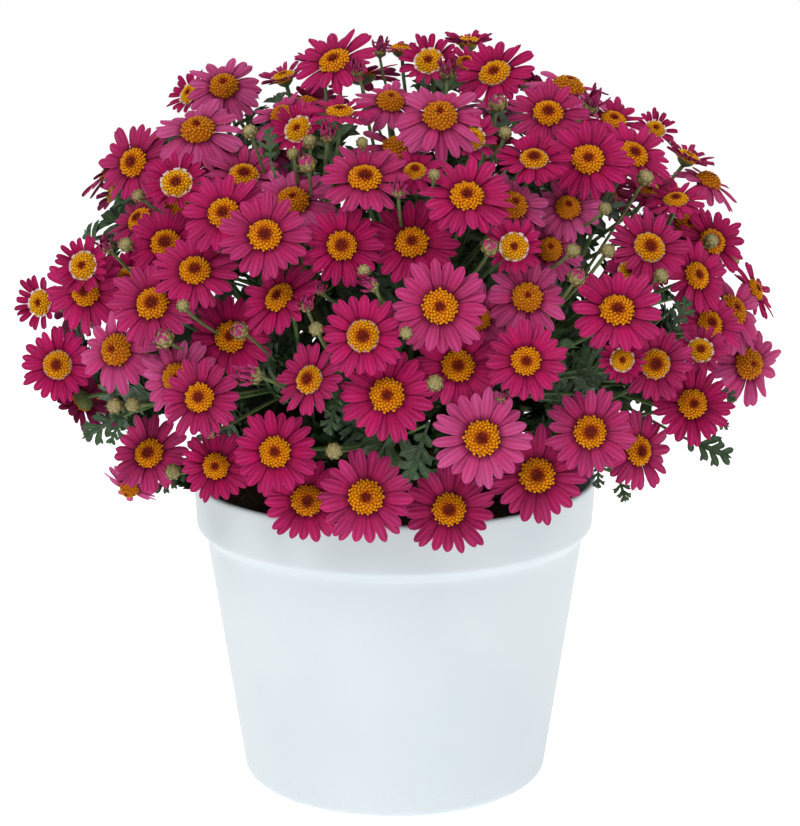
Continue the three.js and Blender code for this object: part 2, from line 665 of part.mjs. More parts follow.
// Turns a closed surface into a solid, without doubled corners and empty triangles.
function solidOf(geometry) {
  const plain = mergeVertices(new THREE.BufferGeometry().setAttribute('position', geometry.attributes.position)
    .setIndex(geometry.index), 1e-4);
  const place = plain.attributes.position.array;
  const index = plain.index.array;
  const kept = [];
  for (let k = 0; k < index.length; k += 3) {
    const [a, b, c] = [index[k], index[k + 1], index[k + 2]];
    if (a !== b && b !== c && c !== a) kept.push(a, b, c);
  }
  let volume = 0;
  const corner = (i) => [place[3 * i], place[3 * i + 1], place[3 * i + 2]];
  for (let k = 0; k < kept.length; k += 3) {
    volume += dot(corner(kept[k]), cross(corner(kept[k + 1]), corner(kept[k + 2])));
  }
  if (volume < 0) {
    for (let k = 0; k < kept.length; k += 3) [kept[k + 1], kept[k + 2]] = [kept[k + 2], kept[k + 1]];
  }
  const mesh = new wasm.Mesh({
    numProp: 3,
    vertProperties: new Float32Array(place),
    triVerts: new Uint32Array(kept),
  });
  return new wasm.Manifold(mesh);
}

// Gives a solid its name and its own look.
function meshOf(name, solid, look) {
  const mesh = solid.getMesh();
  const geometry = new THREE.BufferGeometry();
  const count = mesh.vertProperties.length / mesh.numProp;
  const place = new Float32Array(count * 3);
  for (let i = 0; i < count; i += 1) {
    for (let c = 0; c < 3; c += 1) place[3 * i + c] = mesh.vertProperties[i * mesh.numProp + c];
  }
  geometry.setAttribute('position', new THREE.BufferAttribute(place, 3));
  geometry.setIndex(new THREE.BufferAttribute(new Uint32Array(mesh.triVerts), 1));
  geometry.computeVertexNormals();
  const material = new THREE.MeshStandardMaterial(look);
  material.name = `${name}_look`;
  const out = new THREE.Mesh(geometry, material);
  out.name = name;
  return out;
}

// Sets a geometry built along +Z at the origin on a place, its Z along the given way.
function aim(geometry, place, way) {
  const turn = new THREE.Quaternion().setFromUnitVectors(new THREE.Vector3(0, 0, 1), new THREE.Vector3(...way));
  geometry.applyQuaternion(turn);
  geometry.translate(...place);
  return geometry;
}

// A straight tapered rod between two places.
function rod(from, to, fromRadius, toRadius, sides) {
  const length = size(sub(to, from));
  const geometry = new THREE.CylinderGeometry(toRadius, fromRadius, length, sides);
  geometry.rotateX(Math.PI / 2);
  geometry.translate(0, 0, length / 2);
  return solidOf(aim(geometry, from, unit(sub(to, from))));
}

function lathe(points) {
  const profile = points.map(([r, z]) => new THREE.Vector2(r, z));
  const geometry = new THREE.LatheGeometry(profile, POT_SIDES);
  geometry.rotateX(Math.PI / 2);
  return solidOf(geometry);
}

function insideWall() {
  return [
    [BODY_FOOT_RADIUS - WALL - 3, FLOOR],
    [BODY_FOOT_RADIUS - WALL, FLOOR + 3],
    [BODY_TOP_RADIUS - WALL, SHOULDER_LOW + 2],
    [COLLAR_RADIUS - WALL, COLLAR_LOW + 3],
    [RIM_RADIUS - WALL, POT_HEIGHT],
  ];
}

// The pot: a tapered shell with a rounded foot, a raised collar and drainage holes off the middle.
function buildPot() {
  const outline = [[0, 0]];
  for (let k = 0; k <= 3; k += 1) {
    const angle = (k * Math.PI) / 6;
    const r = BODY_FOOT_RADIUS - EDGE_ROUND + EDGE_ROUND * Math.sin(angle);
    outline.push([r, EDGE_ROUND - EDGE_ROUND * Math.cos(angle)]);
  }
  outline.push([BODY_TOP_RADIUS, SHOULDER_LOW], [COLLAR_RADIUS, COLLAR_LOW]);
  outline.push([RIM_RADIUS, POT_HEIGHT - 1.2], [RIM_RADIUS - 1, POT_HEIGHT]);
  outline.push(...insideWall().reverse(), [0, FLOOR]);
  let pot = lathe(outline);
  for (let k = 0; k < DRAIN_COUNT; k += 1) {
    const angle = ((k + 0.5) * 2 * Math.PI) / DRAIN_COUNT;
    const at = [DRAIN_CIRCLE * Math.cos(angle), DRAIN_CIRCLE * Math.sin(angle), -1];
    pot = pot.subtract(rod(at, add(at, [0, 0, FLOOR + 2]), DRAIN_RADIUS, DRAIN_RADIUS, 10));
  }
  return meshOf('pot', pot, { color: 0xe1ecf0, roughness: 0.42, metalness: 0 });
}

// The soil with its root ball fills the pot and has a plain hole for the woody stem.
function buildSoil() {
  const wall = insideWall().slice(0, 4).map(([r, z]) => [r - FIT_GAP, z]);
  wall[0][1] += FIT_GAP;
  const edge = [COLLAR_RADIUS - WALL - FIT_GAP, SOIL_TOP - 2];
  const outline = [
    [0, FLOOR + FIT_GAP], ...wall, edge, [60, SOIL_TOP + 0.5],
    [STEM_HOLE_RADIUS, SOIL_TOP + 1], [STEM_HOLE_RADIUS, STEM_HOLE_FLOOR], [0, STEM_HOLE_FLOOR],
  ];
  return meshOf('soil', lathe(outline), { color: 0x2b2018, roughness: 0.95, metalness: 0 });
}

function jointPlace(core) {
  return add(HUB, mul(unit(sub(core, HUB)), BRANCH_REACH));
}

// The woody stem: a trunk in the soil's hole, a knobbly crown and one short branch for each spray.
function buildWoodyStem(cores) {
  const foot = [0, 0, STEM_HOLE_FLOOR + FIT_GAP];
  let wood = rod(foot, HUB, TRUNK_RADIUS, TRUNK_RADIUS * 0.8, 10);
  wood = wood.add(solidOf(new THREE.IcosahedronGeometry(CROWN_RADIUS, 0).translate(...HUB)));
  for (const core of cores) {
    const inner = add(HUB, mul(unit(sub(core, HUB)), CROWN_RADIUS * 0.7));
    wood = wood.add(rod(inner, jointPlace(core), BRANCH_RADIUS, BRANCH_RADIUS, 3));
  }
  return meshOf('woody_stem', wood, { color: 0x6b5a3c, roughness: 0.85, metalness: 0 });
}

// A stalk of three sides along a path, and at its outer end a head of petals with a raised disc and a
// calyx, as one skin that is open where it meets the core. The petals are a ring of tips and notches.
function headSkin(head, path, inward) {
  const age = AGES[head.age];
  const small = head.age === 'bud' || head.age === 'pink';
  const count = head.front || age.petals < 7 ? age.petals : 6;
  const places = [];
  const faces = [];
  const across = unit(cross(head.face, Math.abs(head.face[2]) < 0.9 ? [0, 0, 1] : [1, 0, 0]));
  const other = cross(head.face, across);
  const spot = (radius, angle, rise) => {
    const flat = add(mul(across, radius * Math.cos(angle)), mul(other, radius * Math.sin(angle)));
    places.push(...add(head.place, add(flat, mul(head.face, rise))));
    return places.length / 3 - 1;
  };
  const r = head.radius;
  const start = draw(head.index, 7);
  const apex = spot(0, 0, small ? r * 0.95 : age.dome);
  const disc = [];
  const rim = [];
  for (let k = 0; k < count; k += 1) {
    const angle = ((k + start) * 2 * Math.PI) / count;
    const next = angle + Math.PI / count;
    disc.push(spot(r * age.disc, angle, small ? r * 0.72 : 1.2));
    const notch = small ? 0.97 : 0.66;
    rim.push(spot(r * notch, angle, small ? 0 : r * age.tip * notch * notch));
    const wave = small ? 0 : (draw(head.index * 31 + k, 8) - 0.5) * 2.4;
    const reach = small ? 1 : 0.93 + 0.09 * draw(head.index * 31 + k, 9);
    rim.push(spot(r * reach, next, (small ? 0 : r * age.tip) + wave));
  }
  for (let k = 0; k < count; k += 1) {
    const n = (k + 1) % count;
    faces.push(apex, disc[k], disc[n]);
    faces.push(disc[k], rim[2 * k], rim[2 * k + 1]);
    faces.push(disc[k], rim[2 * k + 1], disc[n]);
    faces.push(disc[n], rim[2 * k + 1], rim[2 * n]);
  }
  const calyx = [];
  const calyxRadius = small ? r * 0.6 : Math.max(2.6, r * 0.2);
  const calyxDrop = small ? -r * 0.75 : -3.2;
  for (let k = 0; k < 3; k += 1) {
    calyx.push(spot(calyxRadius, ((start + 0.5) * 2 * Math.PI) / count + (k * 2 * Math.PI) / 3, calyxDrop));
  }
  const share = (j) => Math.floor((j * 3) / (2 * count));
  for (let j = 0; j < 2 * count; j += 1) {
    const n = (j + 1) % (2 * count);
    faces.push(calyx[share(j)], rim[n], rim[j]);
    if (share(j) !== share(n)) faces.push(calyx[share(j)], calyx[share(n)], rim[n]);
  }
  let ring = calyx;
  let section = null;
  const thick = small ? 1.0 : 1.35;
  for (let k = 1; k < path.length; k += 1) {
    const before = unit(sub(path[k], path[k - 1]));
    const last = k + 1 === path.length;
    const along = last ? inward : unit(add(before, unit(sub(path[k + 1], path[k]))));
    if (section) {
      section = section.map((q) => sub(q, mul(before, dot(q, along) / dot(before, along))));
    } else {
      const from = sub(places.slice(3 * calyx[0], 3 * calyx[0] + 3), head.place);
      const e1 = unit(sub(from, mul(along, dot(from, along))));
      const e2 = cross(along, e1);
      const turns = [0, (-2 * Math.PI) / 3, (-4 * Math.PI) / 3];
      section = turns.map((turn) => mul(add(mul(e1, Math.cos(turn)), mul(e2, Math.sin(turn))), thick));
    }
    const next = section.map((q) => {
      places.push(...add(path[k], q));
      return places.length / 3 - 1;
    });
    for (let m = 0; m < 3; m += 1) {
      const n = (m + 1) % 3;
      faces.push(ring[m], next[n], ring[n], ring[m], next[m], next[n]);
    }
    ring = next;
  }
  return { places, faces, ring };
}

// The outline of a leaf blade as shares of its length: two pairs of narrow lobes and a pointed end.
const LEAF_EDGE = [
  [-0.02, 0.045], [0.24, 0.055], [0.46, 0.32], [0.5, 0.09], [0.78, 0.27], [0.77, 0.08],
];
const LEAF_THICKNESS = 0.9;

// A leaf as one skin: its blade, and a flat stalk that is open where it meets the core.
function leafSkin(leaf, end, inward) {
  const edge = LEAF_EDGE.map(([along, out]) => [along * leaf.length, Math.max(0.75, out * leaf.length)]);
  edge[0][1] = 0.8;
  const outline = [...edge, [leaf.length, 0], ...[...edge].reverse().map(([x, y]) => [x, -y])];
  const side = cross(leaf.face, leaf.way);
  const places = [];
  const faces = [];
  for (const half of [LEAF_THICKNESS / 2, -LEAF_THICKNESS / 2]) {
    for (const [x, y] of outline) {
      const flat = add(mul(leaf.way, x), mul(side, y));
      places.push(...add(leaf.foot, add(flat, mul(leaf.face, half))));
    }
  }
  const count = outline.length;
  const contour = outline.map(([x, y]) => new THREE.Vector2(x, y));
  const tiles = THREE.ShapeUtils.triangulateShape(contour, []);
  for (const [i, j, k] of tiles) {
    const [a, b] = [contour[j].clone().sub(contour[i]), contour[k].clone().sub(contour[i])];
    const [m, n] = a.cross(b) > 0 ? [j, k] : [k, j];
    faces.push(i, m, n, i + count, n + count, m + count);
  }
  for (let i = 0; i + 1 < count; i += 1) {
    faces.push(i, i + 1, i + 1 + count, i, i + 1 + count, i + count);
  }
  const foot = [0, count, 2 * count - 1, count - 1];
  const wide = unit(sub(side, mul(inward, dot(side, inward))));
  const thick = cross(inward, wide);
  const turned = dot(thick, leaf.face) < 0 ? mul(thick, -1) : thick;
  const ring = [[1, 1], [1, -1], [-1, -1], [-1, 1]].map(([a, b]) => {
    places.push(...add(end, add(mul(wide, 0.9 * a), mul(turned, 0.5 * b))));
    return places.length / 3 - 1;
  });
  for (let m = 0; m < 4; m += 1) {
    const n = (m + 1) % 4;
    faces.push(foot[m], foot[n], ring[n], foot[m], ring[n], ring[m]);
  }
  return { places, faces, ring: [ring[0], ring[3], ring[2], ring[1]] };
}

// The shoot that carries a spray: a rod of three sides whose inner end is open at the core.
function shootSkin(from, end, inward) {
  const e1 = unit(cross(inward, Math.abs(inward[2]) < 0.9 ? [0, 0, 1] : [1, 0, 0]));
  const e2 = cross(inward, e1);
  const places = [];
  for (const middle of [from, end]) {
    for (const turn of [0, (2 * Math.PI) / 3, (4 * Math.PI) / 3]) {
      const out = add(mul(e1, Math.cos(turn)), mul(e2, Math.sin(turn)));
      places.push(...add(middle, mul(out, SHOOT_RADIUS)));
    }
  }
  const faces = [0, 2, 1];
  for (let m = 0; m < 3; m += 1) {
    const n = (m + 1) % 3;
    faces.push(m, n, 3 + n, m, 3 + n, 3 + m);
  }
  return { places, faces, ring: [3, 5, 4] };
}

// Moves directions apart on the sphere until none stands too close to another or to the fixed one.
function spreadWays(ways, fixed) {
  const out = ways.map((way) => [...way]);
  for (let pass = 0; pass < SPREAD_PASSES; pass += 1) {
    for (let i = 0; i < out.length; i += 1) {
      for (let j = i + 1; j < out.length; j += 1) {
        const angle = Math.acos(Math.max(-1, Math.min(1, dot(out[i], out[j]))));
        const room = i === fixed || j === fixed ? SHOOT_SPREAD : ENTRY_SPREAD;
        if (angle >= room) continue;
        const apart = unit(sub(out[j], out[i]));
        const step = (room - angle) * 0.55;
        const shares = [i === fixed ? 0 : 1, j === fixed ? 0 : 1];
        out[i] = unit(sub(out[i], mul(apart, step * shares[0])));
        out[j] = unit(add(out[j], mul(apart, step * shares[1])));
      }
    }
  }
  return out;
}

// The triangles of the hull round a set of points.
function hullTiles(points) {
  const corners = points.map((p) => new THREE.Vector3(...p));
  const number = new Map(corners.map((corner, k) => [corner, k]));
  const tiles = [];
  for (const face of new ConvexHull().setFromPoints(corners).faces) {
    const loop = [];
    let edge = face.edge;
    do {
      loop.push(number.get(edge.head().point));
      edge = edge.next;
    } while (edge !== face.edge);
    for (let k = 1; k + 1 < loop.length; k += 1) tiles.push([loop[0], loop[k], loop[k + 1]]);
  }
  return tiles;
}

function solidFrom(places, faces) {
  const geometry = new THREE.BufferGeometry();
  geometry.setAttribute('position', new THREE.BufferAttribute(new Float32Array(places), 3));
  geometry.setIndex(faces);
  return solidOf(geometry);
}

// Joins skins into one closed solid, with a faceted core between their open ends.
function joinSkins(skins) {
  const places = [];
  const faces = [];
  const points = [];
  const owner = [];
  const at = [];
  skins.forEach((skin, k) => {
    const first = places.length / 3;
    places.push(...skin.places);
    faces.push(...skin.faces.map((i) => i + first));
    for (const i of skin.ring) {
      points.push(skin.places.slice(3 * i, 3 * i + 3));
      owner.push(k);
      at.push(i + first);
    }
  });
  for (const tile of hullTiles(points)) {
    if (new Set(tile.map((i) => owner[i])).size > 1) faces.push(...tile.map((i) => at[i]));
  }
  return solidFrom(places, faces);
}

// Closes the open end of a single skin, so that it can be compared with others and fused.
function closedSkin(skin) {
  const cap = [];
  for (let k = 1; k + 1 < skin.ring.length; k += 1) cap.push(skin.ring[0], skin.ring[k + 1], skin.ring[k]);
  return solidFrom(skin.places, [...skin.faces, ...cap]);
}

// Which skins cut into the core, the shoot or an earlier skin.
function tangledSkins(shoot, skins) {
  const solids = skins.map(closedSkin);
  const points = [shoot, ...skins].flatMap((skin) => skin.ring.map((i) => skin.places.slice(3 * i, 3 * i + 3)));
  const dense = solidFrom(points.flat(), hullTiles(points).flat());
  const stem = closedSkin(shoot);
  const tangled = [];
  solids.forEach((solid, k) => {
    const others = solids.filter((other, n) => n < k && !tangled.includes(n));
    if ([dense, stem, ...others].some((other) => solid.intersect(other).volume() > TOUCH_VOLUME)) tangled.push(k);
  });
  return tangled;
}

// A spray: its shoot, a small faceted core, its leaves and all its heads, joined. What cuts into
// another part of the spray, and a leaf that points back to the core, is fused to it instead.
function buildSpray(name, k, heads, cores, leaves) {
  const core = cores[k];
  const axis = unit(sub(core, HUB));
  const from = add(jointPlace(core), mul(axis, JOINT_GAP));
  const parts = [];
  for (const head of heads) {
    if (head.spray !== k) continue;
    const path = stalkPath(head, core).slice(0, -1);
    parts.push({ toward: path[path.length - 1], make: (end, inward) => headSkin(head, [...path, end], inward) });
  }
  const own = leaves.filter((leaf) => leaf.spray === k);
  const folded = own.filter((leaf) => dot(leaf.way, unit(sub(leaf.foot, core))) < 0.05);
  for (const leaf of own) {
    if (folded.includes(leaf)) continue;
    parts.push({ toward: leaf.foot, make: (end, inward) => leafSkin(leaf, end, inward) });
  }
  const ways = spreadWays([mul(axis, -1), ...parts.map((part) => unit(sub(part.toward, core)))], 0);
  const grow = (n, reach) => parts[n].make(add(core, mul(ways[n + 1], reach)), mul(ways[n + 1], -1));
  const skins = parts.map((part, n) => grow(n, ENTRY_RADIUS));
  const shoot = shootSkin(from, add(core, mul(axis, -ENTRY_RADIUS)), axis);
  const tangled = tangledSkins(shoot, skins);
  let spray = joinSkins([shoot, ...skins.filter((skin, n) => !tangled.includes(n))]);
  for (const n of tangled) spray = spray.add(closedSkin(grow(n, ENTRY_RADIUS * 0.5)));
  for (const leaf of folded) {
    const blade = closedSkin(leafSkin(leaf, sub(leaf.foot, mul(leaf.way, 3)), mul(leaf.way, -1)));
    spray = spray.add(blade).add(rod(core, add(leaf.foot, mul(leaf.way, leaf.length * 0.12)), 1.3, 1.1, 3));
  }
  return meshOf(name, spray, { color: 0xb5125c, roughness: 0.6, metalness: 0 });
}

function buildPlant() {
  const plant = new THREE.Group();
  plant.name = 'potted_marguerite_daisy';
  const heads = placeFront();
  placeBack(heads);
  const cores = gatherSprays(heads);
  const leaves = placeLeaves(heads, cores);
  plant.add(buildPot(), buildSoil(), buildWoodyStem(cores));
  cores.forEach((core, k) => {
    plant.add(buildSpray(`spray_${String(k + 1).padStart(2, '0')}`, k, heads, cores, leaves));
  });
  return plant;
}

export default buildPlant();
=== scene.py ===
"""A potted marguerite daisy: plain white pot, compost, woody stem and leafy flowering sprays, in metres."""

import json
import logging
import math
from collections.abc import Callable
from dataclasses import dataclass
from enum import Enum

import bpy
import numpy as np
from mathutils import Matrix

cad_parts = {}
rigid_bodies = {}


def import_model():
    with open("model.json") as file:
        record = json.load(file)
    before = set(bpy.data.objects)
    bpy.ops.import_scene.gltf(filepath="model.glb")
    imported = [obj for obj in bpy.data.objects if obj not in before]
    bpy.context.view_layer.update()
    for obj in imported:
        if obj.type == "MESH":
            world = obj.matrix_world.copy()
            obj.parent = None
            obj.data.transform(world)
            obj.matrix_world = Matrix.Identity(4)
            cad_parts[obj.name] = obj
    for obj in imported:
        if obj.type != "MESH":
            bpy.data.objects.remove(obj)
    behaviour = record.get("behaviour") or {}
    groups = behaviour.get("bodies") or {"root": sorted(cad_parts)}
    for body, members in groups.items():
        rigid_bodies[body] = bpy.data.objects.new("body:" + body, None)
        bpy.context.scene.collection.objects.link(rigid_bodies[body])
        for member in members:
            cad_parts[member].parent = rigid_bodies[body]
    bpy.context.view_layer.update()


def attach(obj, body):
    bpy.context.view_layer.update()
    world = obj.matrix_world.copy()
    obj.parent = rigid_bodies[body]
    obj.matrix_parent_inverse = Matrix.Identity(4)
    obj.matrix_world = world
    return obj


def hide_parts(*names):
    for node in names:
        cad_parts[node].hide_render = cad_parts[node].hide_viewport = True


LOG = logging.getLogger("marguerite")
MM = 0.001
Array = np.ndarray


class Age(Enum):
    """How far a flower head has opened."""

    FULL = "full"
    MID = "mid"
    YOUNG = "young"
    AGED = "aged"
    TUFT = "tuft"
    PINK = "pink"
    BUD = "bud"


@dataclass(frozen=True)
class PotSizes:
    """Sizes of the pot and its filling, in millimetres."""

    height: float = 172.0
    rim_radius: float = 112.3
    collar_radius: float = 111.0
    collar_low: float = 145.5
    shoulder_low: float = 139.5
    body_top_radius: float = 105.8
    body_foot_radius: float = 86.1
    edge_round: float = 4.5
    wall: float = 2.6
    floor: float = 3.0
    drain_radius: float = 5.0
    drain_circle: float = 52.0
    drain_count: int = 4
    soil_top: float = 158.0
    stem_hole_radius: float = 9.4
    stem_hole_floor: float = 108.0
    trunk_radius: float = 8.9
    fit_gap: float = 0.35


@dataclass(frozen=True)
class CrownSizes:
    """Sizes of the leafy crown, in millimetres: its flower heads lie on a dome with these half-axes."""

    hub_height: float = 181.0
    crown_radius: float = 14.0
    branch_reach: float = 34.0
    branch_radius: float = 2.6
    shoot_radius: float = 2.3
    dome_centre_height: float = 255.0
    dome_wide: float = 190.0
    dome_deep: float = 175.0
    dome_up: float = 150.0
    dome_down: float = 110.0
    spray_count: int = 28
    core_share: float = 0.55
    core_radius: float = 15.0
    core_lowest: float = 196.0
    back_tries: int = 190
    push_step: float = 2.0
    push_tries: int = 60
    leaf_half: float = 0.45
    match: float = 0.01


@dataclass(frozen=True)
class ViewPoint:
    """The viewpoint from which the front flower heads were placed: millimetres and picture points."""

    x: float = 3.0
    distance: float = 1200.0
    height: float = 481.7
    pitch: float = 0.226
    focal: float = 2207.0
    mid_u: float = 400.0
    mid_v: float = 413.0
    mean_depth: float = 1170.0


@dataclass(frozen=True)
class Seen:
    """A flower head seen from the front, as SEEN_HEADS lists it."""

    u: float
    v: float
    radius: float
    right: float
    up: float
    age: str
    away: float = 1.0


POT = PotSizes()
CROWN = CrownSizes()
VIEW = ViewPoint()

# Flower heads seen from the front, by the layer they lie in, with opening heads and buds in front: place in the
# picture, radius in millimetres, how far each faces right and up, its age and, where it faces away, -1.
SEEN_HEADS = {
    -1: [
        (380, 50, 6.5, 0.1, 0.8, "tuft"), (357, 70, 6.5, -0.1, 0.6, "tuft"), (327, 135, 7, 0, 0.5, "tuft"),
        (398, 190, 6.5, 0, 0.6, "tuft"), (448, 70, 8.5, 0.1, 0.5, "tuft"), (592, 104, 9, 0.3, 0.6, "tuft"),
        (210, 431, 7.5, 0, 0.2, "tuft"), (252, 375, 9.5, -0.7, 0.1, "tuft"), (306, 305, 7, 0, 0.4, "tuft"),
        (371, 285, 7, -0.6, 0.2, "tuft"), (107, 247, 6.5, -0.3, 0.4, "tuft"), (320, 290, 5, 0, 0.3, "tuft"),
        (502, 397, 5, 0.2, 0.2, "tuft"), (307, 164, 5.3, -0.2, 0.6, "pink"), (498, 103, 5.3, 0, 0.6, "pink"),
        (164, 339, 5.8, -0.3, 0.4, "pink"), (240, 331, 5.3, -0.4, 0.2, "pink"), (490, 247, 5.3, 0, 0.5, "pink"),
        (577, 277, 5.3, 0.2, 0.6, "pink"), (310, 142, 4.2, 0, 0.5, "bud"), (250, 132, 4.2, -0.2, 0.6, "bud"),
        (293, 154, 3.4, -0.1, 0.5, "bud"), (362, 143, 3.4, 0, 0.5, "bud"), (505, 133, 3.7, 0.1, 0.5, "bud"),
        (434, 175, 3.4, 0, 0.5, "bud"), (645, 178, 4.8, 0.2, 0.5, "bud"), (605, 209, 3.7, 0.1, 0.5, "bud"),
        (139, 196, 3.7, -0.3, 0.4, "bud"), (126, 245, 4.2, -0.3, 0.4, "bud"), (183, 306, 3.7, -0.1, 0.4, "bud"),
        (364, 271, 3.7, 0, 0.4, "bud"), (316, 329, 4.2, 0, 0.2, "bud"), (573, 251, 4.2, 0.1, 0.4, "bud"),
        (435, 383, 4.8, 0, 0.2, "bud"), (406, 333, 3.7, 0, 0.2, "bud"), (711, 241, 4.2, 0.3, 0.4, "bud"),
        (733, 258, 4.2, 0.4, 0.4, "bud"), (608, 251, 4.2, 0.1, 0.4, "bud"), (661, 276, 4.2, 0.2, 0.4, "bud"),
        (115, 406, 4.6, -0.1, 0.1, "bud"), (133, 405, 4.4, 0, 0.1, "bud"), (173, 472, 4.6, 0.1, 0.2, "bud"),
        (334, 451, 4.8, -0.1, 0.1, "bud"),
    ],
    0: [
        (335, 62, 24, -0.3, 0.6, "full"), (340, 113, 20, 0, 0.88, "mid"), (198, 131, 25, -0.1, 0.6, "aged"),
        (365, 179, 25.5, 0, 0.6, "full"), (495, 74, 22.5, -0.3, 0.55, "mid"), (440, 117, 25.5, 0, 0.5, "aged"),
        (472, 139, 14.5, 0.1, 0.35, "young"), (548, 114, 22.5, 0, 0.5, "full"), (534, 160, 20, 0, 0.65, "mid"),
        (588, 160, 24, 0, 0.35, "full"), (467, 197, 25.5, 0, 0.5, "full"), (676, 201, 17.5, -0.1, 0.8, "mid"),
        (134, 163, 22.5, -0.45, 0.2, "full"), (177, 184, 17.5, -0.1, 0.4, "young"),
        (84, 266, 16, -0.3, 0.1, "young"), (58, 365, 20.5, -0.15, 0, "mid"), (195, 271, 23.5, 0, 0.4, "full"),
        (265, 236, 25, 0, 0.3, "full"), (342, 246, 22.5, 0, 0.1, "full"), (412, 243, 25, 0, 0.3, "full"),
        (280, 298, 24, -0.5, 0.5, "full"), (363, 336, 23, 0, 0, "mid"), (310, 380, 21, -0.5, 0.25, "mid"),
        (440, 307, 26.5, 0, 0, "full"), (514, 247, 16, 0, 0.05, "young"), (526, 361, 22, 0, 0, "full"),
        (649, 248, 22.5, 0.25, 0.35, "mid"), (700, 351, 14.5, 0.1, 0.4, "young"), (748, 364, 23, 0.45, 0, "aged"),
        (622, 360, 13, 0, 0, "young"), (617, 311, 26, 0, 0.45, "full"), (200, 398, 22.5, -0.2, 0.2, "full"),
        (150, 454, 22.5, -0.3, 0.3, "full"), (366, 497, 26.5, 0, 0, "full"), (387, 395, 26, 0, 0, "full"),
        (482, 438, 27, 0, 0, "full"), (537, 475, 26.5, 0, 0, "full"), (590, 432, 24.5, 0, 0, "full"),
        (692, 404, 22.5, 0.2, 0.1, "full"),
    ],
    1: [
        (390, 103, 20, 0.1, 0.65, "aged"), (224, 214, 24, -0.1, 0.3, "full"), (224, 87, 21, 0, 0.45, "aged"),
        (284, 78, 13.5, -0.3, 0.85, "young"), (299, 130, 16, -0.45, 0.35, "young"),
        (429, 62, 16, -0.2, 0.4, "young"), (568, 88, 24, 0.25, 0.85, "aged"), (512, 206, 22.5, 0.3, 0.4, "aged"),
        (568, 208, 18.5, 0, 0.3, "aged"), (613, 121, 20, 0.2, 0.7, "full"), (655, 130, 11.5, 0.2, 0.5, "young"),
        (633, 155, 22.5, 0.3, 0.5, "full"), (687, 158, 14.5, 0.4, 0.85, "young"), (708, 183, 20, 0.45, 0.8, "aged"),
        (191, 94, 13.5, -0.6, 0.4, "young"), (86, 290, 24, -0.35, -0.1, "full"), (117, 350, 24, -0.4, 0.1, "aged"),
        (153, 304, 25, -0.2, 0.25, "full"), (166, 244, 22.5, -0.1, 0.35, "full"),
        (231, 337, 24, -0.15, 0.15, "full"), (527, 298, 22.5, 0.05, 0.25, "aged"), (458, 366, 24.5, 0, 0.1, "full"),
        (655, 364, 21, 0.1, 0, "mid"), (712, 242, 20, 0.35, 0.3, "full"), (696, 276, 21, 0.5, 0.2, "full"),
        (731, 311, 24, 0.5, 0.35, "aged"), (709, 324, 21, 0.4, 0.3, "full"), (631, 273, 15, 0.1, 0.5, "young"),
        (216, 466, 20, -0.1, 0, "full"), (275, 452, 23.5, 0, 0.05, "full"), (307, 500, 24, 0.1, -0.1, "full"),
        (449, 509, 25, 0, -0.05, "full"), (638, 451, 22.5, 0.55, 0, "full"),
        (82, 401, 18.5, -0.7, -0.45, "full", -1),
    ],
    2: [
        (293, 202, 24, 0, 0.5, "aged"), (397, 150, 24, 0.3, 0.8, "aged"), (244, 176, 21, 0.1, 0.6, "mid"),
        (403, 50, 17, 0.1, 0.95, "mid"), (283, 117, 18.5, -0.2, 0.6, "aged"), (468, 43, 14, 0, 0.95, "young"),
        (466, 64, 15, 0, 0.7, "mid"), (140, 220, 20, -0.55, 0.5, "full"), (176, 208, 18.5, -0.2, 0.6, "aged"),
        (41, 303, 15, -0.5, 0, "young"), (754, 290, 17, 0.75, 0.4, "full"), (478, 318, 19, 0, 0, "aged"),
        (550, 250, 18.5, 0, 0.3, "aged"), (686, 226, 17.5, 0.3, 0.3, "aged"), (178, 378, 22.5, -0.2, 0.1, "aged"),
        (130, 487, 15, -0.3, -0.75, "aged"),
    ],
    3: [
        (415, 172, 16, 0, 0.6, "mid"), (648, 190, 16, 0.2, 0.6, "mid"), (212, 160, 16, -0.1, 0.5, "mid"),
        (128, 278, 16, -0.2, 0.1, "mid"),
    ],
}

# Large leaves that show between the heads: foot and tip of the blade in the picture, and how many
# millimetres behind the dome.
SEEN_LEAVES = [
    (128, 411, 80, 440, 0), (122, 416, 109, 446, 4), (680, 436, 734, 459, 6), (704, 420, 731, 427, 3),
    (618, 474, 626, 504, 8), (598, 464, 598, 491, 12), (428, 424, 408, 485, 10), (440, 524, 395, 549, 22),
    (338, 400, 326, 436, 16), (271, 162, 268, 126, 6), (668, 336, 690, 297, 12), (712, 386, 738, 402, 8),
    (190, 470, 152, 490, 8), (560, 400, 540, 350, 22), (600, 395, 580, 345, 24), (455, 172, 466, 150, 14),
]

HUB = np.array([0.0, 0.0, CROWN.hub_height])
GOLDEN = math.pi * (3 - math.sqrt(5))
SMALL_AGES = ("bud", "pink", "tuft")
HEAD_DOMES = {"full": 3.2, "mid": 3.0, "young": 3.0, "aged": 6.0, "tuft": 2.5}
SPOKES = np.arange(12) * math.pi / 6
AHEAD = np.array([0.0, math.cos(VIEW.pitch), -math.sin(VIEW.pitch)])
UPWARD = np.array([0.0, math.sin(VIEW.pitch), math.cos(VIEW.pitch)])
RIGHT = np.array([1.0, 0.0, 0.0])
EYE = np.array([VIEW.x, -VIEW.distance, VIEW.height])
MIDDLE = np.zeros((1, 3))
UP = np.array([[0.0, 0.0, 1.0]])


def unit(a: Array) -> Array:
    """Vectors of length one, along the last axis."""
    return a / np.linalg.norm(a, axis=-1, keepdims=True)


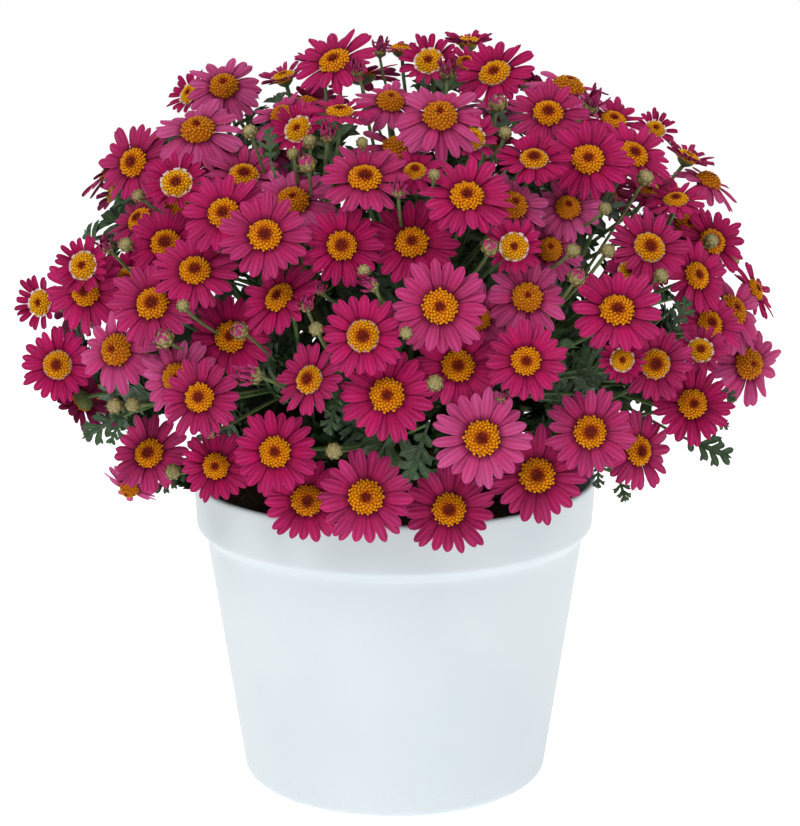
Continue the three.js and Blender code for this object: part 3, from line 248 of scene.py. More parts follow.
def draws(i: Array, k: int) -> Array:
    """Seeded draws between 0 and 1 for an array of items and purpose k.

    Args:
        i: numbers of the items.
        k: number of the purpose.

    Returns:
        One draw for each item.
    """
    s = (np.asarray(i, np.uint64) * np.uint64(7919) + np.uint64(k * 104729 + 12345)) & np.uint64(0xFFFFFFFF)
    for _ in range(3):
        s = (s * np.uint64(1664525) + np.uint64(1013904223)) & np.uint64(0xFFFFFFFF)
    return s.astype(float) / 4294967296.0


def draw(i: int, k: int) -> float:
    """A single seeded draw."""
    return float(draws(i, k))


def sight(u: float, v: float) -> Array:
    """The unit vector towards a picture point, u from the left and v from the top."""
    return unit(AHEAD + RIGHT * ((u - VIEW.mid_u) / VIEW.focal) + UPWARD * ((VIEW.mid_v - v) / VIEW.focal))


def domed(p: Array) -> Array:
    """Places in the dome's own measure, of length 1 on the dome.

    Args:
        p: (..., 3) in millimetres.

    Returns:
        An array of the same shape.
    """
    up = p[..., 2] - CROWN.dome_centre_height
    tall = np.where(up > 0, CROWN.dome_up, CROWN.dome_down)
    return np.stack([p[..., 0] / CROWN.dome_wide, p[..., 1] / CROWN.dome_deep, up / tall], -1)


def dome_depth(line: Array) -> float:
    """How far along a line of sight the dome is met, or passed most closely.

    Args:
        line: unit vector of the line of sight.

    Returns:
        Millimetres from the eye.
    """
    t = np.arange(900.0, 1400.0)
    away = np.linalg.norm(domed(EYE + line * t[:, None]), axis=1)
    met = np.nonzero(away <= 1)[0]
    return float(t[met[0]] if len(met) else t[int(np.argmin(away))])


def spiral_way(rise: object, turn: object) -> Array:
    """Unit vectors that rise so far, at these angles round the upright."""
    flat = np.sqrt(1 - rise * rise)
    return np.stack([flat * np.cos(turn), flat * np.sin(turn), rise], -1)


def disc_frame(face: Array) -> tuple[Array, Array]:
    """Two directions in the plane of each disc.

    Args:
        face: unit normals, with the vector on the last axis.

    Returns:
        The two unit vectors across each normal.
    """
    pole = np.where(np.abs(face[..., 2:]) < 0.9, np.array([0.0, 0.0, 1.0]), np.array([1.0, 0.0, 0.0]))
    side = unit(np.cross(face, pole))
    return side, np.cross(face, side)


def swing(first: Array, second: Array, angle: Array) -> Array:
    """Directions turned by angles from a first direction towards a second one."""
    return first * np.cos(angle)[..., None] + second * np.sin(angle)[..., None]


def round_ways(face: Array, angle: Array) -> Array:
    """Directions at some angles in the plane of each disc, as (discs, angles, 3)."""
    side, other = disc_frame(face)
    return swing(side[:, None], other[:, None], angle)


@dataclass
class Discs:
    """A set of thin discs: places, unit normals, radii and half thicknesses."""

    place: Array
    face: Array
    radius: Array
    half: Array

    def pick(self, keep: Array) -> "Discs":
        """The discs that a mask or a list of indices names."""
        return Discs(self.place[keep], self.face[keep], self.radius[keep], self.half[keep])

    @staticmethod
    def join(sets: list["Discs"]) -> "Discs":
        """Several sets as one."""
        rows = zip(*((s.place, s.face, s.radius, s.half) for s in sets))
        return Discs(*(np.concatenate(row) for row in rows))


def spokes_clear(a: Discs, b: Discs) -> Array:
    """Whether no spoke of disc a comes near or through disc b.

    The height of points at 0, 1/2 and 1 of each spoke over b's plane is compared with the two half
    thicknesses, and where a spoke passes through the plane its place is compared with b's radius.

    Args:
        a: discs.
        b: as many discs.

    Returns:
        One truth value for each pair.
    """
    ways = round_ways(a.face, SPOKES)
    away, wide = a.place - b.place, b.radius[:, None] + 1
    q = away[:, None, None] + a.radius[:, None, None, None] * np.array([[0.0], [0.5], [1.0]]) * ways[:, :, None]
    face = b.face[:, None, None]
    h = np.sum(q * face, -1)
    out = np.linalg.norm(q - face * h[..., None], axis=-1)
    close = (np.abs(h) < (a.half + b.half)[:, None, None]) & (out < wide[..., None])
    h0, h1 = np.sum(away * b.face, -1)[:, None], h[:, :, 2]
    apart = np.where(h0 * h1 < 0, h0 - h1, 1.0)
    through = away[:, None] + ways * (a.radius[:, None] * h0 / apart)[..., None]
    pierced = (h0 * h1 < 0) & (np.linalg.norm(through, axis=-1) < wide)
    return ~(close.any((1, 2)) | pierced.any(1))


def discs_clear(a: Discs, b: Discs) -> Array:
    """Whether two sets of discs keep clear of each other, pair by pair.

    Args:
        a: the first of each pair.
        b: the second of each pair.

    Returns:
        True where a pair is clear.
    """
    clear = np.linalg.norm(a.place - b.place, axis=1) > a.radius + b.radius + 8
    near = np.nonzero(~clear)[0]
    one, two = a.pick(near), b.pick(near)
    clear[near] = spokes_clear(one, two) & spokes_clear(two, one)
    return clear


def pot_clear(disc: Discs) -> bool:
    """Whether a single disc keeps clear of the pot.

    Args:
        disc: a set of one disc.

    Returns:
        True if it is clear.
    """
    ways = round_ways(disc.face, SPOKES)[0]
    q = disc.place[0] + disc.radius[0] * np.array([0.0, 0.5, 1.0])[:, None, None] * ways
    low = (q[..., 2] < POT.height + 4) & (np.hypot(q[..., 0], q[..., 1]) < POT.rim_radius + 5)
    return not low.any()


@dataclass
class Head:
    """A flower head or bud: its place, the way it faces, its size and the spray it belongs to."""

    place: Array
    face: Array
    radius: float
    age: str
    index: int
    spray: int
    u: float = -99.0
    v: float = -99.0

    @property
    def small(self) -> bool:
        """True for what has not opened yet."""
        return self.age in SMALL_AGES


def listed(heads: list[Head]) -> tuple[Array, Array, Array, Array]:
    """Places, faces, radii and indices of some heads, as arrays.

    Args:
        heads: the heads.

    Returns:
        The four arrays, in this order.
    """
    return (
        np.array([head.place for head in heads]), np.array([head.face for head in heads]),
        np.array([head.radius for head in heads]), np.array([head.index for head in heads]),
    )


@dataclass
class Leaf:
    """A cut leaf: foot of its blade, the way it points, its upper face, its length and its spray."""

    foot: Array
    way: Array
    face: Array
    length: float
    spray: int
    seen: bool
    rooted: bool = True

    def discs(self) -> Discs:
        """Three small discs along the middle line that stand for the blade.

        Returns:
            A set of three discs.
        """
        along = np.array([0.48, 0.76, 0.96])
        radius = np.array([0.27, 0.25, 0.1]) * self.length
        place = self.foot + self.way * (self.length * along)[:, None]
        return Discs(place, np.repeat(self.face[None], 3, 0), radius, np.full(3, 1.0))


class Growth:
    """Follows the rule that placed every head and leaf, and keeps each where the low model has it."""

    def __init__(self) -> None:
        """Reads the corners of the low model's sprays and finds all heads, cores and leaves."""
        corners, owners = [], []
        for spray in range(CROWN.spray_count):
            mesh = bpy.data.objects[f"spray_{spray + 1:02d}"].data
            places = np.empty(len(mesh.vertices) * 3, np.float32)
            mesh.vertices.foreach_get("co", places)
            corners.append(np.unique(places.reshape(-1, 3), axis=0) / MM)
            owners.append(np.full(len(corners[-1]), spray))
        self.corners = np.concatenate(corners)
        self.owners = np.concatenate(owners)
        self.heads: list[Head] = []
        self.leaves: list[Leaf] = []
        self.find_front()
        self.find_back()
        place, face, radius, _ = listed(self.heads)
        half = [3.2 if head.small else 2.6 if head.age in ("aged", "young") else 1.9 for head in self.heads]
        self.discs = Discs(place, face, radius, np.array(half))
        self.sprays = np.array([head.spray for head in self.heads])
        self.find_cores()
        self.paths = np.array([self.stalk_path(head, self.cores[head.spray]) for head in self.heads])
        self.find_leaves()

    def owner(self, point: Array) -> int:
        """The spray of which a point is a corner, or -1.

        Args:
            point: place in millimetres.

        Returns:
            Number of the spray, or -1.
        """
        apart = np.abs(self.corners - point).max(1)
        nearest = int(np.argmin(apart))
        return int(self.owners[nearest]) if apart[nearest] < CROWN.match else -1

    def keep(self, place: Array, face: Array, radius: float, age: str, spot: tuple = ()) -> bool:
        """Keeps a head if its highest point is a corner of the low model.

        Args:
            place: middle of the head.
            face: the way it faces.
            radius: its radius.
            age: its age.
            spot: its picture point, for a head seen from the front.

        Returns:
            Whether it was kept.
        """
        high = radius * 0.95 if age in ("bud", "pink") else HEAD_DOMES[age]
        spray = self.owner(place + face * high)
        if spray >= 0:
            self.heads.append(Head(place, face, radius, age, len(self.heads), spray, *spot))
        return spray >= 0

    def find_front(self) -> None:
        """Finds the heads seen from the front, nearest layer first, at one of the steps they take back."""
        for layer, rows in SEEN_HEADS.items():
            for row in (Seen(*values) for values in rows):
                line = sight(row.u, row.v)
                start = dome_depth(line) + max(layer, -0.6) * 6
                ahead = row.away * math.sqrt(max(0.0, 1 - row.right * row.right - row.up * row.up))
                face = unit(RIGHT * row.right + UPWARD * row.up - AHEAD * ahead)
                steps = [start + n * CROWN.push_step for n in range(CROWN.push_tries)]
                for depth, scale in [(depth, depth) for depth in steps] + [(start + 20, steps[-1])]:
                    radius = row.radius * scale / VIEW.mean_depth
                    if self.keep(EYE + line * depth, face, radius, row.age, (row.u, row.v)):
                        break

    def find_back(self) -> None:
        """Finds the heads of the far side, which stand at the turns of a golden-angle spiral."""
        for k in range(CROWN.back_tries):
            rise = 0.97 - 1.52 * (k + 0.5) / CROWN.back_tries
            way = spiral_way(rise, GOLDEN * k)
            place = way * [CROWN.dome_wide, CROWN.dome_deep, CROWN.dome_up if rise > 0 else CROWN.dome_down]
            place = place + [0, 0, CROWN.dome_centre_height]
            lean = np.array([draw(k, 1) - 0.5, draw(k, 2) - 0.5, draw(k, 3) - 0.2])
            face = unit(unit(way) + lean * 0.5)
            pick = draw(k, 4)
            age = "full" if pick < 0.55 else "aged" if pick < 0.75 else "mid" if pick < 0.9 else "young"
            radius = 15.0 if age == "young" else 21 + 4 * draw(k, 5)
            any(self.keep(place - way * (n * 2), face, radius, age) for n in range(18))

    def find_cores(self) -> None:
        """Finds the core of each spray: part of the way from the hub to the middle of its heads."""
        k = np.arange(CROWN.spray_count)
        ways = spiral_way(0.96 - 1.5 * (k + 0.5) / CROWN.spray_count, GOLDEN * k + 0.6)
        places = np.array([head.place for head in self.heads if not head.small])
        nearest = np.argmax(unit(domed(places)) @ ways.T, axis=1)
        self.cores = np.zeros((CROWN.spray_count, 3))
        for i in range(CROWN.spray_count):
            own = places[nearest == i]
            middle = np.mean(own, 0) if len(own) else HUB + ways[i] * 120
            self.cores[i] = HUB + (middle - HUB) * CROWN.core_share
            self.cores[i][2] = max(self.cores[i][2], CROWN.core_lowest)

    def stalk_path(self, head: Head, core: Array) -> Array:
        """The stalk of a head, from under its calyx to the core of its spray.

        Args:
            head: the flower head.
            core: middle of the spray's core.

        Returns:
            Four places; the last two are alike where the stalk needs no bend over the pot's rim.
        """
        back, reach = (head.radius * 0.5, 9) if head.small else (2, 13)
        knee = head.place - head.face * reach
        knee = knee + (core - knee) * 0.08
        path = [head.place - head.face * back, knee]
        q = knee + (core - knee) * (np.arange(11) / 10)[:, None]
        if ((q[:, 2] < POT.height + 4.5) & (np.hypot(q[:, 0], q[:, 1]) < POT.rim_radius + 4)).any():
            over = (POT.rim_radius + 5) / math.hypot(knee[0], knee[1])
            path.append(np.array([knee[0] * over, knee[1] * over, POT.height + 9]))
        last = path[-1]
        share = min(0.5, CROWN.core_radius * 0.6 / float(np.linalg.norm(last - core)))
        path.append(core + (last - core) * share)
        if len(path) == 3:
            path.append(path[2])
        return np.array(path)

    def keep_leaf(self, foot: Array, way: Array, side: Array, length: float, seen: bool) -> bool:
        """Keeps a leaf if the corner at its tip is in the low model.

        Args:
            foot: where the blade starts.
            way: unit vector from foot to tip.
            side: unit vector across the blade.
            length: in millimetres.
            seen: whether the picture shows it.

        Returns:
            Whether it was kept.
        """
        face = unit(np.cross(side, way))
        spray = self.owner(foot + way * length + face * CROWN.leaf_half)
        if spray >= 0:
            self.leaves.append(Leaf(foot, way, face, length, spray, seen))
        return spray >= 0

    def find_leaves(self) -> None:
        """Finds the leaves that were seen, and then those round the core of each spray."""
        for row in SEEN_LEAVES:
            line, tip_line = sight(*row[:2]), sight(*row[2:4])
            start = dome_depth(line) + row[4]
            for depth in (start + n * 3 for n in range(16)):
                foot, tip = EYE + line * depth, EYE + tip_line * depth
                way = unit(tip - foot)
                side = unit(np.cross(way, -AHEAD))
                if self.keep_leaf(foot, way, side, float(np.linalg.norm(tip - foot)), True):
                    break
        for k, core in enumerate(self.cores):
            axis = unit(core - HUB)
            e1, e2 = disc_frame(axis)
            for j in range(k * 41, k * 41 + 40):
                out = swing(e1, e2, 2 * math.pi * draws([j], 20))
                way = unit(swing(axis, out, 0.35 + draws([j], 30)))[0]
                foot = core + way * (16 + 22 * draw(j, 40))
                if self.keep_leaf(foot, way, unit(np.cross(way, axis)), 34 + 12 * draw(j, 50), False):
                    break


# Surfaces: every shape is a function of two parameters on a grid.


@dataclass(frozen=True)
class Template:
    """How the points of one shape join into faces; every copy of the shape shares it.

    corners: the points round each face, one face after another.
    totals: the number of corners of each face.
    cell: where each corner lies in the shape's own cell of the bake map.
    rim: which points lie on a thin edge.
    """

    corners: Array
    totals: Array
    cell: Array
    rim: Array


def blade_template(rows: int, columns: int) -> Template:
    """Two grids, an upper and an under side, that share their edge.

    Point (i, j) of the upper side has number i * columns + j, and the under side has points of its
    own only inside the edge.

    Args:
        rows: points along the blade.
        columns: points across it.

    Returns:
        The template.
    """
    upper = np.arange(rows * columns).reshape(rows, columns)
    under = upper.copy()
    inside = (rows - 2) * (columns - 2)
    under[1:-1, 1:-1] = rows * columns + np.arange(inside).reshape(rows - 2, columns - 2)
    i, j = np.meshgrid(np.arange(rows) / (rows - 1), np.arange(columns) / (columns - 1), indexing="ij")

    def quads(grid: Array) -> Array:
        """The four corners of each cell of a grid, as (cells, 4)."""
        return np.stack([grid[:-1, :-1], grid[1:, :-1], grid[1:, 1:], grid[:-1, 1:]], -1).reshape(-1, 4)

    top, low = (np.stack([quads(0.06 + 0.88 * i), quads(left + 0.42 * j)], -1) for left in (0.04, 0.54))
    corners = np.concatenate([quads(upper), quads(under)[:, ::-1]])
    rim = np.ones((rows, columns), bool)
    rim[1:-1, 1:-1] = False
    rim = np.concatenate([rim.ravel(), np.zeros(inside, bool)])
    cell = np.concatenate([top, low[:, ::-1]]).reshape(-1, 2)
    return Template(corners.ravel(), np.full(len(corners), 4), cell, rim)


def tube_template(rings: int, sides: int) -> Template:
    """Rings of points joined by faces of four corners, with a pole at each end.

    Point (i, j) has number i * sides + j; the two poles come last.

    Args:
        rings: number of rings.
        sides: points round a ring.

    Returns:
        The template.
    """
    grid = np.arange(rings * sides).reshape(rings, sides)
    after = np.roll(grid, -1, 1)
    quads = np.stack([grid[:-1], after[:-1], after[1:], grid[1:]], -1).reshape(-1, 4)
    first = np.stack([after[0], grid[0], np.full(sides, rings * sides)], -1)
    last = np.stack([grid[-1], after[-1], np.full(sides, rings * sides + 1)], -1)
    v = 0.06 + 0.88 * np.arange(sides + 1) / sides
    u = 0.06 + 0.88 * np.arange(rings + 2) / (rings + 1)
    uu, vv = np.meshgrid(u, v, indexing="ij")
    low, high = slice(1, rings), slice(2, rings + 1)
    grids = (np.stack([g[low, :-1], g[low, 1:], g[high, 1:], g[high, :-1]], -1).ravel() for g in (uu, vv))
    middle = (v[:-1] + v[1:]) / 2
    ends = []
    for near, far, one, two in ((u[1], u[0], v[1:], v[:-1]), (u[-2], u[-1], v[:-1], v[1:])):
        fan = np.stack([one, two, middle], -1).ravel()
        ends.append(np.stack([np.tile([near, near, far], sides), fan], -1))
    corners = np.concatenate([quads.ravel(), first.ravel(), last.ravel()])
    totals = np.concatenate([np.full(len(quads), 4), np.full(2 * sides, 3)])
    cell = np.concatenate([np.stack(list(grids), -1), *ends])
    return Template(corners, totals, cell, np.zeros(rings * sides + 2, bool))


@dataclass(frozen=True)
class Cut:
    """The outline of a blade: shares of its length at which rows lie, share of its half width at each
    row, and how far along the blade each column reaches."""

    rows: Array
    widths: Array
    tips: Array


@dataclass
class Blades:
    """Thin closed blades, such as petals, bud scales and the lobes of leaves.

    The middle line starts at `foot`, runs along `way` tilted up by `rise` radians and turns by a
    further `turn` radians up to the tip. Point (s, t) is line(s) + side * t * width(s) + up(s) *
    (cup * width * t * t - groove * sin(pi t)^2), and the two sides lie a lens-shaped thickness apart.
    """

    foot: Array
    way: Array
    normal: Array
    length: Array
    width: Array
    rise: Array
    turn: Array
    cup: Array
    roll: Array
    thickness: float = 0.6
    groove: float = 0.0

    def __post_init__(self) -> None:
        """Spreads each value over all blades, with one row for each."""
        shape = self.way.shape[:-1]
        for name in ("foot", "way", "normal"):
            setattr(self, name, np.broadcast_to(getattr(self, name), (*shape, 3)).reshape(-1, 3))
        for name in ("length", "width", "rise", "turn", "cup", "roll"):
            setattr(self, name, np.broadcast_to(getattr(self, name), shape).ravel())

    def frame(self, s: Array) -> tuple[Array, Array, Array]:
        """The middle line at shares s of its length.

        Args:
            s: shares that broadcast against (blades, ...).

        Returns:
            Places, directions onward and upward directions, each (..., 3).
        """
        extra = (slice(None),) + (None,) * (s.ndim - 1)
        turn = np.where(np.abs(self.turn) < 1e-3, 1e-3, self.turn)[extra]
        rise, length = self.rise[extra], self.length[extra]
        foot, way, normal = (a[(*extra, slice(None))] for a in (self.foot, self.way, self.normal))
        heading = rise + turn * s
        onward = length * (np.sin(heading) - np.sin(rise)) / turn
        upward = -length * (np.cos(heading) - np.cos(rise)) / turn
        place = foot + way * onward[..., None] + normal * upward[..., None]
        return place, swing(way, normal, heading), swing(normal, -way, heading)

    def points(self, cut: Cut) -> Array:
        """All points of all blades of a cut, as blade_template numbers them.

        Args:
            cut: rows, tips and widths of a blade.

        Returns:
            (blades, points, 3) in millimetres.
        """
        count, t = len(self.length), np.linspace(-1, 1, len(cut.tips))
        s = np.broadcast_to(cut.rows[:, None] * cut.tips, (count, len(cut.rows), len(cut.tips)))
        place, _, up = self.frame(s)
        side = np.cross(self.normal, self.way)[:, None, None]
        twist = self.roll[:, None, None] * s
        across, up = swing(side, up, twist), swing(up, -side, twist)
        half = self.width[:, None, None] * cut.widths[:, None]
        lift = self.cup[:, None, None] * half * t * t - self.groove * np.sin(math.pi * t) ** 2
        share = np.clip(4 * cut.rows * (1 - cut.rows), 0, 1)[:, None] ** 0.5
        thick = 0.5 * self.thickness * share * (1 - t * t)
        base = place + across * (t * half)[..., None]
        upper = base + up * (lift + thick)[..., None]
        under = base + up * (lift - thick)[..., None]
        return np.concatenate([upper.reshape(count, -1, 3), under[:, 1:-1, 1:-1].reshape(count, -1, 3)], 1)


def blade_growth(rows: Array, columns: int) -> Array:
    """What the finishes read at each point of a blade: share along it, share across it and side.

    Args:
        rows: shares of the length at which points lie.
        columns: points across.

    Returns:
        (points, 3), with side 1 on the upper face and 0 on the under face.
    """
    s, t = np.meshgrid(rows, np.linspace(0, 1, columns), indexing="ij")
    upper = np.stack([s, t, np.ones_like(s)], -1)
    under = np.stack([s, t, np.zeros_like(s)], -1)[1:-1, 1:-1]
    return np.concatenate([upper.reshape(-1, 3), under.reshape(-1, 3)])


def turned_points(
    place: Array, axis: Array, heights: object, radii: Array, poles: object, sides: int,
    start: object = 0.0,
) -> Array:
    """Shapes turned round an axis: ring i has its own height and radius.

    Point (i, j) is place + axis * height(i) + radius(i, j) * (cos, sin) of the angle 2 pi j / sides.

    Args:
        place: (n, 3) feet of the axes.
        axis: (n, 3) unit axes.
        heights: (rings,) or (n, rings).
        radii: (n, rings, sides) or (n, rings, 1).
        poles: heights of the two poles, (2,) or (n, 2).
        sides: points round a ring.
        start: angle of the first point, one or (n,).

    Returns:
        Points as tube_template numbers them, (n, rings * sides + 2, 3).
    """
    heights, poles = np.atleast_2d(heights), np.atleast_2d(poles)
    angle = np.reshape(start, (-1, 1)) + np.arange(sides) * 2 * math.pi / sides
    ring = (place[:, None] + axis[:, None] * heights[..., None])[:, :, None]
    ring = ring + round_ways(axis, angle)[:, None] * radii[..., None]
    ends = place[:, None] + axis[:, None] * poles[..., None]
    return np.concatenate([ring.reshape(len(place), -1, 3), ends], 1)


def tube_points(path: Array, radius: Array, sides: int) -> Array:
    """Round rods along paths: a ring of points lies square to the path at each of its places.

    Args:
        path: (n, rings, 3).
        radius: (n, rings).
        sides: points round a ring.

    Returns:
        Points as tube_template numbers them, (n, rings * sides + 2, 3).
    """
    along = unit(np.gradient(path, axis=1))
    guide, _ = disc_frame(unit(path[:, -1] - path[:, 0]))
    e1 = unit(guide[:, None] - along * np.sum(guide[:, None] * along, -1, keepdims=True))
    e2 = np.cross(along, e1)
    angle = np.arange(sides) * 2 * math.pi / sides
    ring = e1[:, :, None] * np.cos(angle)[:, None] + e2[:, :, None] * np.sin(angle)[:, None]
    rings = path[:, :, None] + ring * radius[:, :, None, None]
    ends = np.stack([path[:, 0], path[:, -1]], 1)
    return np.concatenate([rings.reshape(len(path), -1, 3), ends], 1)


def tube_growth(rings: int, sides: int) -> Array:
    """Share along a tube and round it for each point, with side 1.

    Args:
        rings: rings between the two ends.
        sides: points of a ring.

    Returns:
        (points, 3), the ends last.
    """
    i, j = np.meshgrid((np.arange(rings) + 1) / (rings + 1), np.arange(sides) / sides, indexing="ij")
    body = np.stack([i, j, np.ones_like(i)], -1).reshape(-1, 3)
    return np.concatenate([body, [[0.0, 0.5, 1.0], [1.0, 0.5, 1.0]]])


def smooth_paths(corners: Array, rings: int) -> Array:
    """Bent lines with their corners rounded.

    Each line is sampled at even steps of its length and then averaged with its neighbours, while its
    ends keep their place.

    Args:
        corners: (n, corners, 3).
        rings: number of places on each line in the end.

    Returns:
        (n, rings, 3).
    """
    steps = np.linalg.norm(np.diff(corners, axis=1), axis=2)
    run = np.concatenate([np.zeros((len(corners), 1)), np.cumsum(steps, 1)], 1)
    fine = 41
    out = np.zeros((len(corners), fine, 3))
    for n, line in enumerate(corners):
        at = np.linspace(0, run[n, -1], fine)
        for c in range(3):
            out[n, :, c] = np.interp(at, run[n] + np.arange(len(line)) * 1e-6, line[:, c])
    for _ in range(3):
        padded = np.concatenate([out[:, :1], out[:, :1], out, out[:, -1:], out[:, -1:]], 1)
        mean = sum(padded[:, k : k + fine] for k in range(5)) / 5
        ease = np.clip(np.minimum(np.arange(fine), np.arange(fine)[::-1]) / 3.0, 0, 1)[None, :, None]
        out = out + (mean - out) * ease
    pick = np.round(np.linspace(0, fine - 1, rings)).astype(int)
    return out[:, pick]


def kinds(first: object, second: object, third: object) -> Array:
    """What the finishes read for each copy, as rows of three numbers."""
    return np.stack(np.broadcast_arrays(first, second, third), -1).reshape(-1, 3).astype(float)


class Skin:
    """Gathers many closed shapes and builds them as one mesh object."""

    def __init__(self, name: str, *materials: bpy.types.Material) -> None:
        """Starts a skin; shapes pick their material by number."""
        self.name, self.materials = name, materials
        self.parts: list[tuple[Template, Array, Array, Array, int]] = []

    def add(self, template: Template, points: Array, growth: Array, kind: object = 0.0, look: int = 0) -> None:
        """Adds copies of a shape: points (n, p, 3), growth at each point, kind of each copy and one look."""
        growth = np.broadcast_to(growth, points.shape)
        self.parts.append((template, points, growth, np.broadcast_to(kind, (len(points), 3)), look))

    def turned(
        self, place: Array, axis: Array, heights: object, radii: Array, poles: object, sides: int,
        kind: object = 0.0, look: int = 0, start: object = 0.0, growth: Array | None = None,
    ) -> None:
        """Adds shapes turned round an axis.

        Args:
            place, axis, heights, radii, poles, sides, start: as turned_points takes them.
            kind, look: as add takes them.
            growth: as add takes it, if it isn't that of a tube.
        """
        points = turned_points(place, axis, heights, radii, poles, sides, start)
        rings = (points.shape[1] - 2) // sides
        growth = tube_growth(rings, sides) if growth is None else growth
        self.add(tube_template(rings, sides), points, growth, kind, look)

    def rods(self, path: Array, radius: Array, sides: int, kind: object, look: int = 0) -> None:
        """Adds round rods along paths, as tube_points takes them."""
        rings = path.shape[1]
        self.add(tube_template(rings, sides), tube_points(path, radius, sides), tube_growth(rings, sides), kind, look)

    def blades(self, blades: "Blades", cut: "Cut", kind: Array, look: int = 0) -> None:
        """Adds thin closed blades of one cut."""
        rows, columns = len(cut.rows), len(cut.tips)
        self.add(blade_template(rows, columns), blades.points(cut), blade_growth(cut.rows, columns), kind, look)

    def build(self) -> bpy.types.Object:
        """Puts all shapes into one mesh.

        Returns:
            The object, at the origin.
        """
        grid = max(1, math.ceil(math.sqrt(sum(len(part[1]) for part in self.parts))))
        rows, point_count, cell_count = [], 0, 0
        for template, points, growth, kind, look in self.parts:
            n, p = points.shape[:2]
            number = cell_count + np.arange(n)
            cell = np.stack([number % grid, number // grid], -1)[:, None]
            rows.append((
                (template.corners + (point_count + np.arange(n) * p)[:, None]).ravel(),
                np.tile(template.totals, n), np.full(n * len(template.totals), look), points.reshape(-1, 3) * MM,
                growth.reshape(-1, 3), np.repeat(kind, p, 0), ((cell + template.cell) / grid).reshape(-1, 2),
                np.tile(template.rim, n),
            ))
            point_count += n * p
            cell_count += n
        corners, totals, looks, places, growths, kind, cells, rim = (np.concatenate(row) for row in zip(*rows))
        mesh = bpy.data.meshes.new(self.name)
        mesh.vertices.add(point_count)
        mesh.loops.add(len(corners))
        mesh.polygons.add(len(totals))
        mesh.vertices.foreach_set("co", places.ravel())
        mesh.loops.foreach_set("vertex_index", corners.astype(np.int32))
        mesh.polygons.foreach_set("loop_start", (np.cumsum(totals) - totals).astype(np.int32))
        mesh.update(calc_edges=True)
        mesh.polygons.foreach_set("material_index", looks.astype(np.int32))
        mesh.polygons.foreach_set("use_smooth", np.ones(len(totals), bool))
        for name, values in (("growth", growths), ("kind", kind)):
            layer = mesh.attributes.new(name, "FLOAT_VECTOR", "POINT")
            layer.data.foreach_set("vector", values.astype(np.float32).ravel())
        bake = mesh.uv_layers.new(name="OFBake")
        bake.uv.foreach_set("vector", cells.astype(np.float32).ravel())
        ends = np.empty(len(mesh.edges) * 2, np.int32)
        mesh.edges.foreach_get("vertices", ends)
        sharp = mesh.attributes.get("sharp_edge") or mesh.attributes.new("sharp_edge", "BOOLEAN", "EDGE")
        sharp.data.foreach_set("value", rim[ends.reshape(-1, 2)].all(1))
        for material in self.materials:
            mesh.materials.append(material)
        mesh.update()
        return stand(self.name, mesh)


def stand(name: str, data: bpy.types.ID) -> bpy.types.Object:
    """Links a new object with some data into the scene.

    Args:
        name: name of the object.
        data: what it shows.

    Returns:
        The object.
    """
    made = bpy.data.objects.new(name, data)
    bpy.context.scene.collection.objects.link(made)
    return made


# Finishes.


def screen(red: float, green: float, blue: float) -> tuple[float, float, float, float]:
    """A colour given in 0 to 255 screen numbers, as the linear colour that a shader takes."""
    out = [c / 255 / 12.92 if c <= 10.3 else ((c / 255 + 0.055) / 1.055) ** 2.4 for c in (red, green, blue)]
    return (out[0], out[1], out[2], 1.0)


class Value:
    """An output of a shader node, with which shares can be written as formulas."""

    def __init__(self, wire: "Wiring", socket: bpy.types.NodeSocket) -> None:
        """Keeps the output and the wiring of its tree."""
        self.wire, self.socket = wire, socket

    def __add__(self, other: object) -> "Value":
        """The sum."""
        return self.wire.maths("ADD", self, other)

    def __sub__(self, other: object) -> "Value":
        """The difference."""
        return self.wire.maths("SUBTRACT", self, other)

    def __rsub__(self, other: object) -> "Value":
        """The difference, taken from a number."""
        return self.wire.maths("SUBTRACT", other, self)

    def __mul__(self, other: object) -> "Value":
        """The product."""
        return self.wire.maths("MULTIPLY", self, other)

    def step(self, low: float, high: float) -> "Value":
        """A soft step from 0 to 1 as the value goes from low to high."""
        smooth = {"interpolation_type": "SMOOTHSTEP"}
        return self.wire.out("ShaderNodeMapRange", smooth, Value=self, From_Min=low, From_Max=high)

    def coat(self, share: object, colour: tuple) -> "Value":
        """This colour with another one laid over it by a share."""
        return self.wire.blend(share, self, colour)


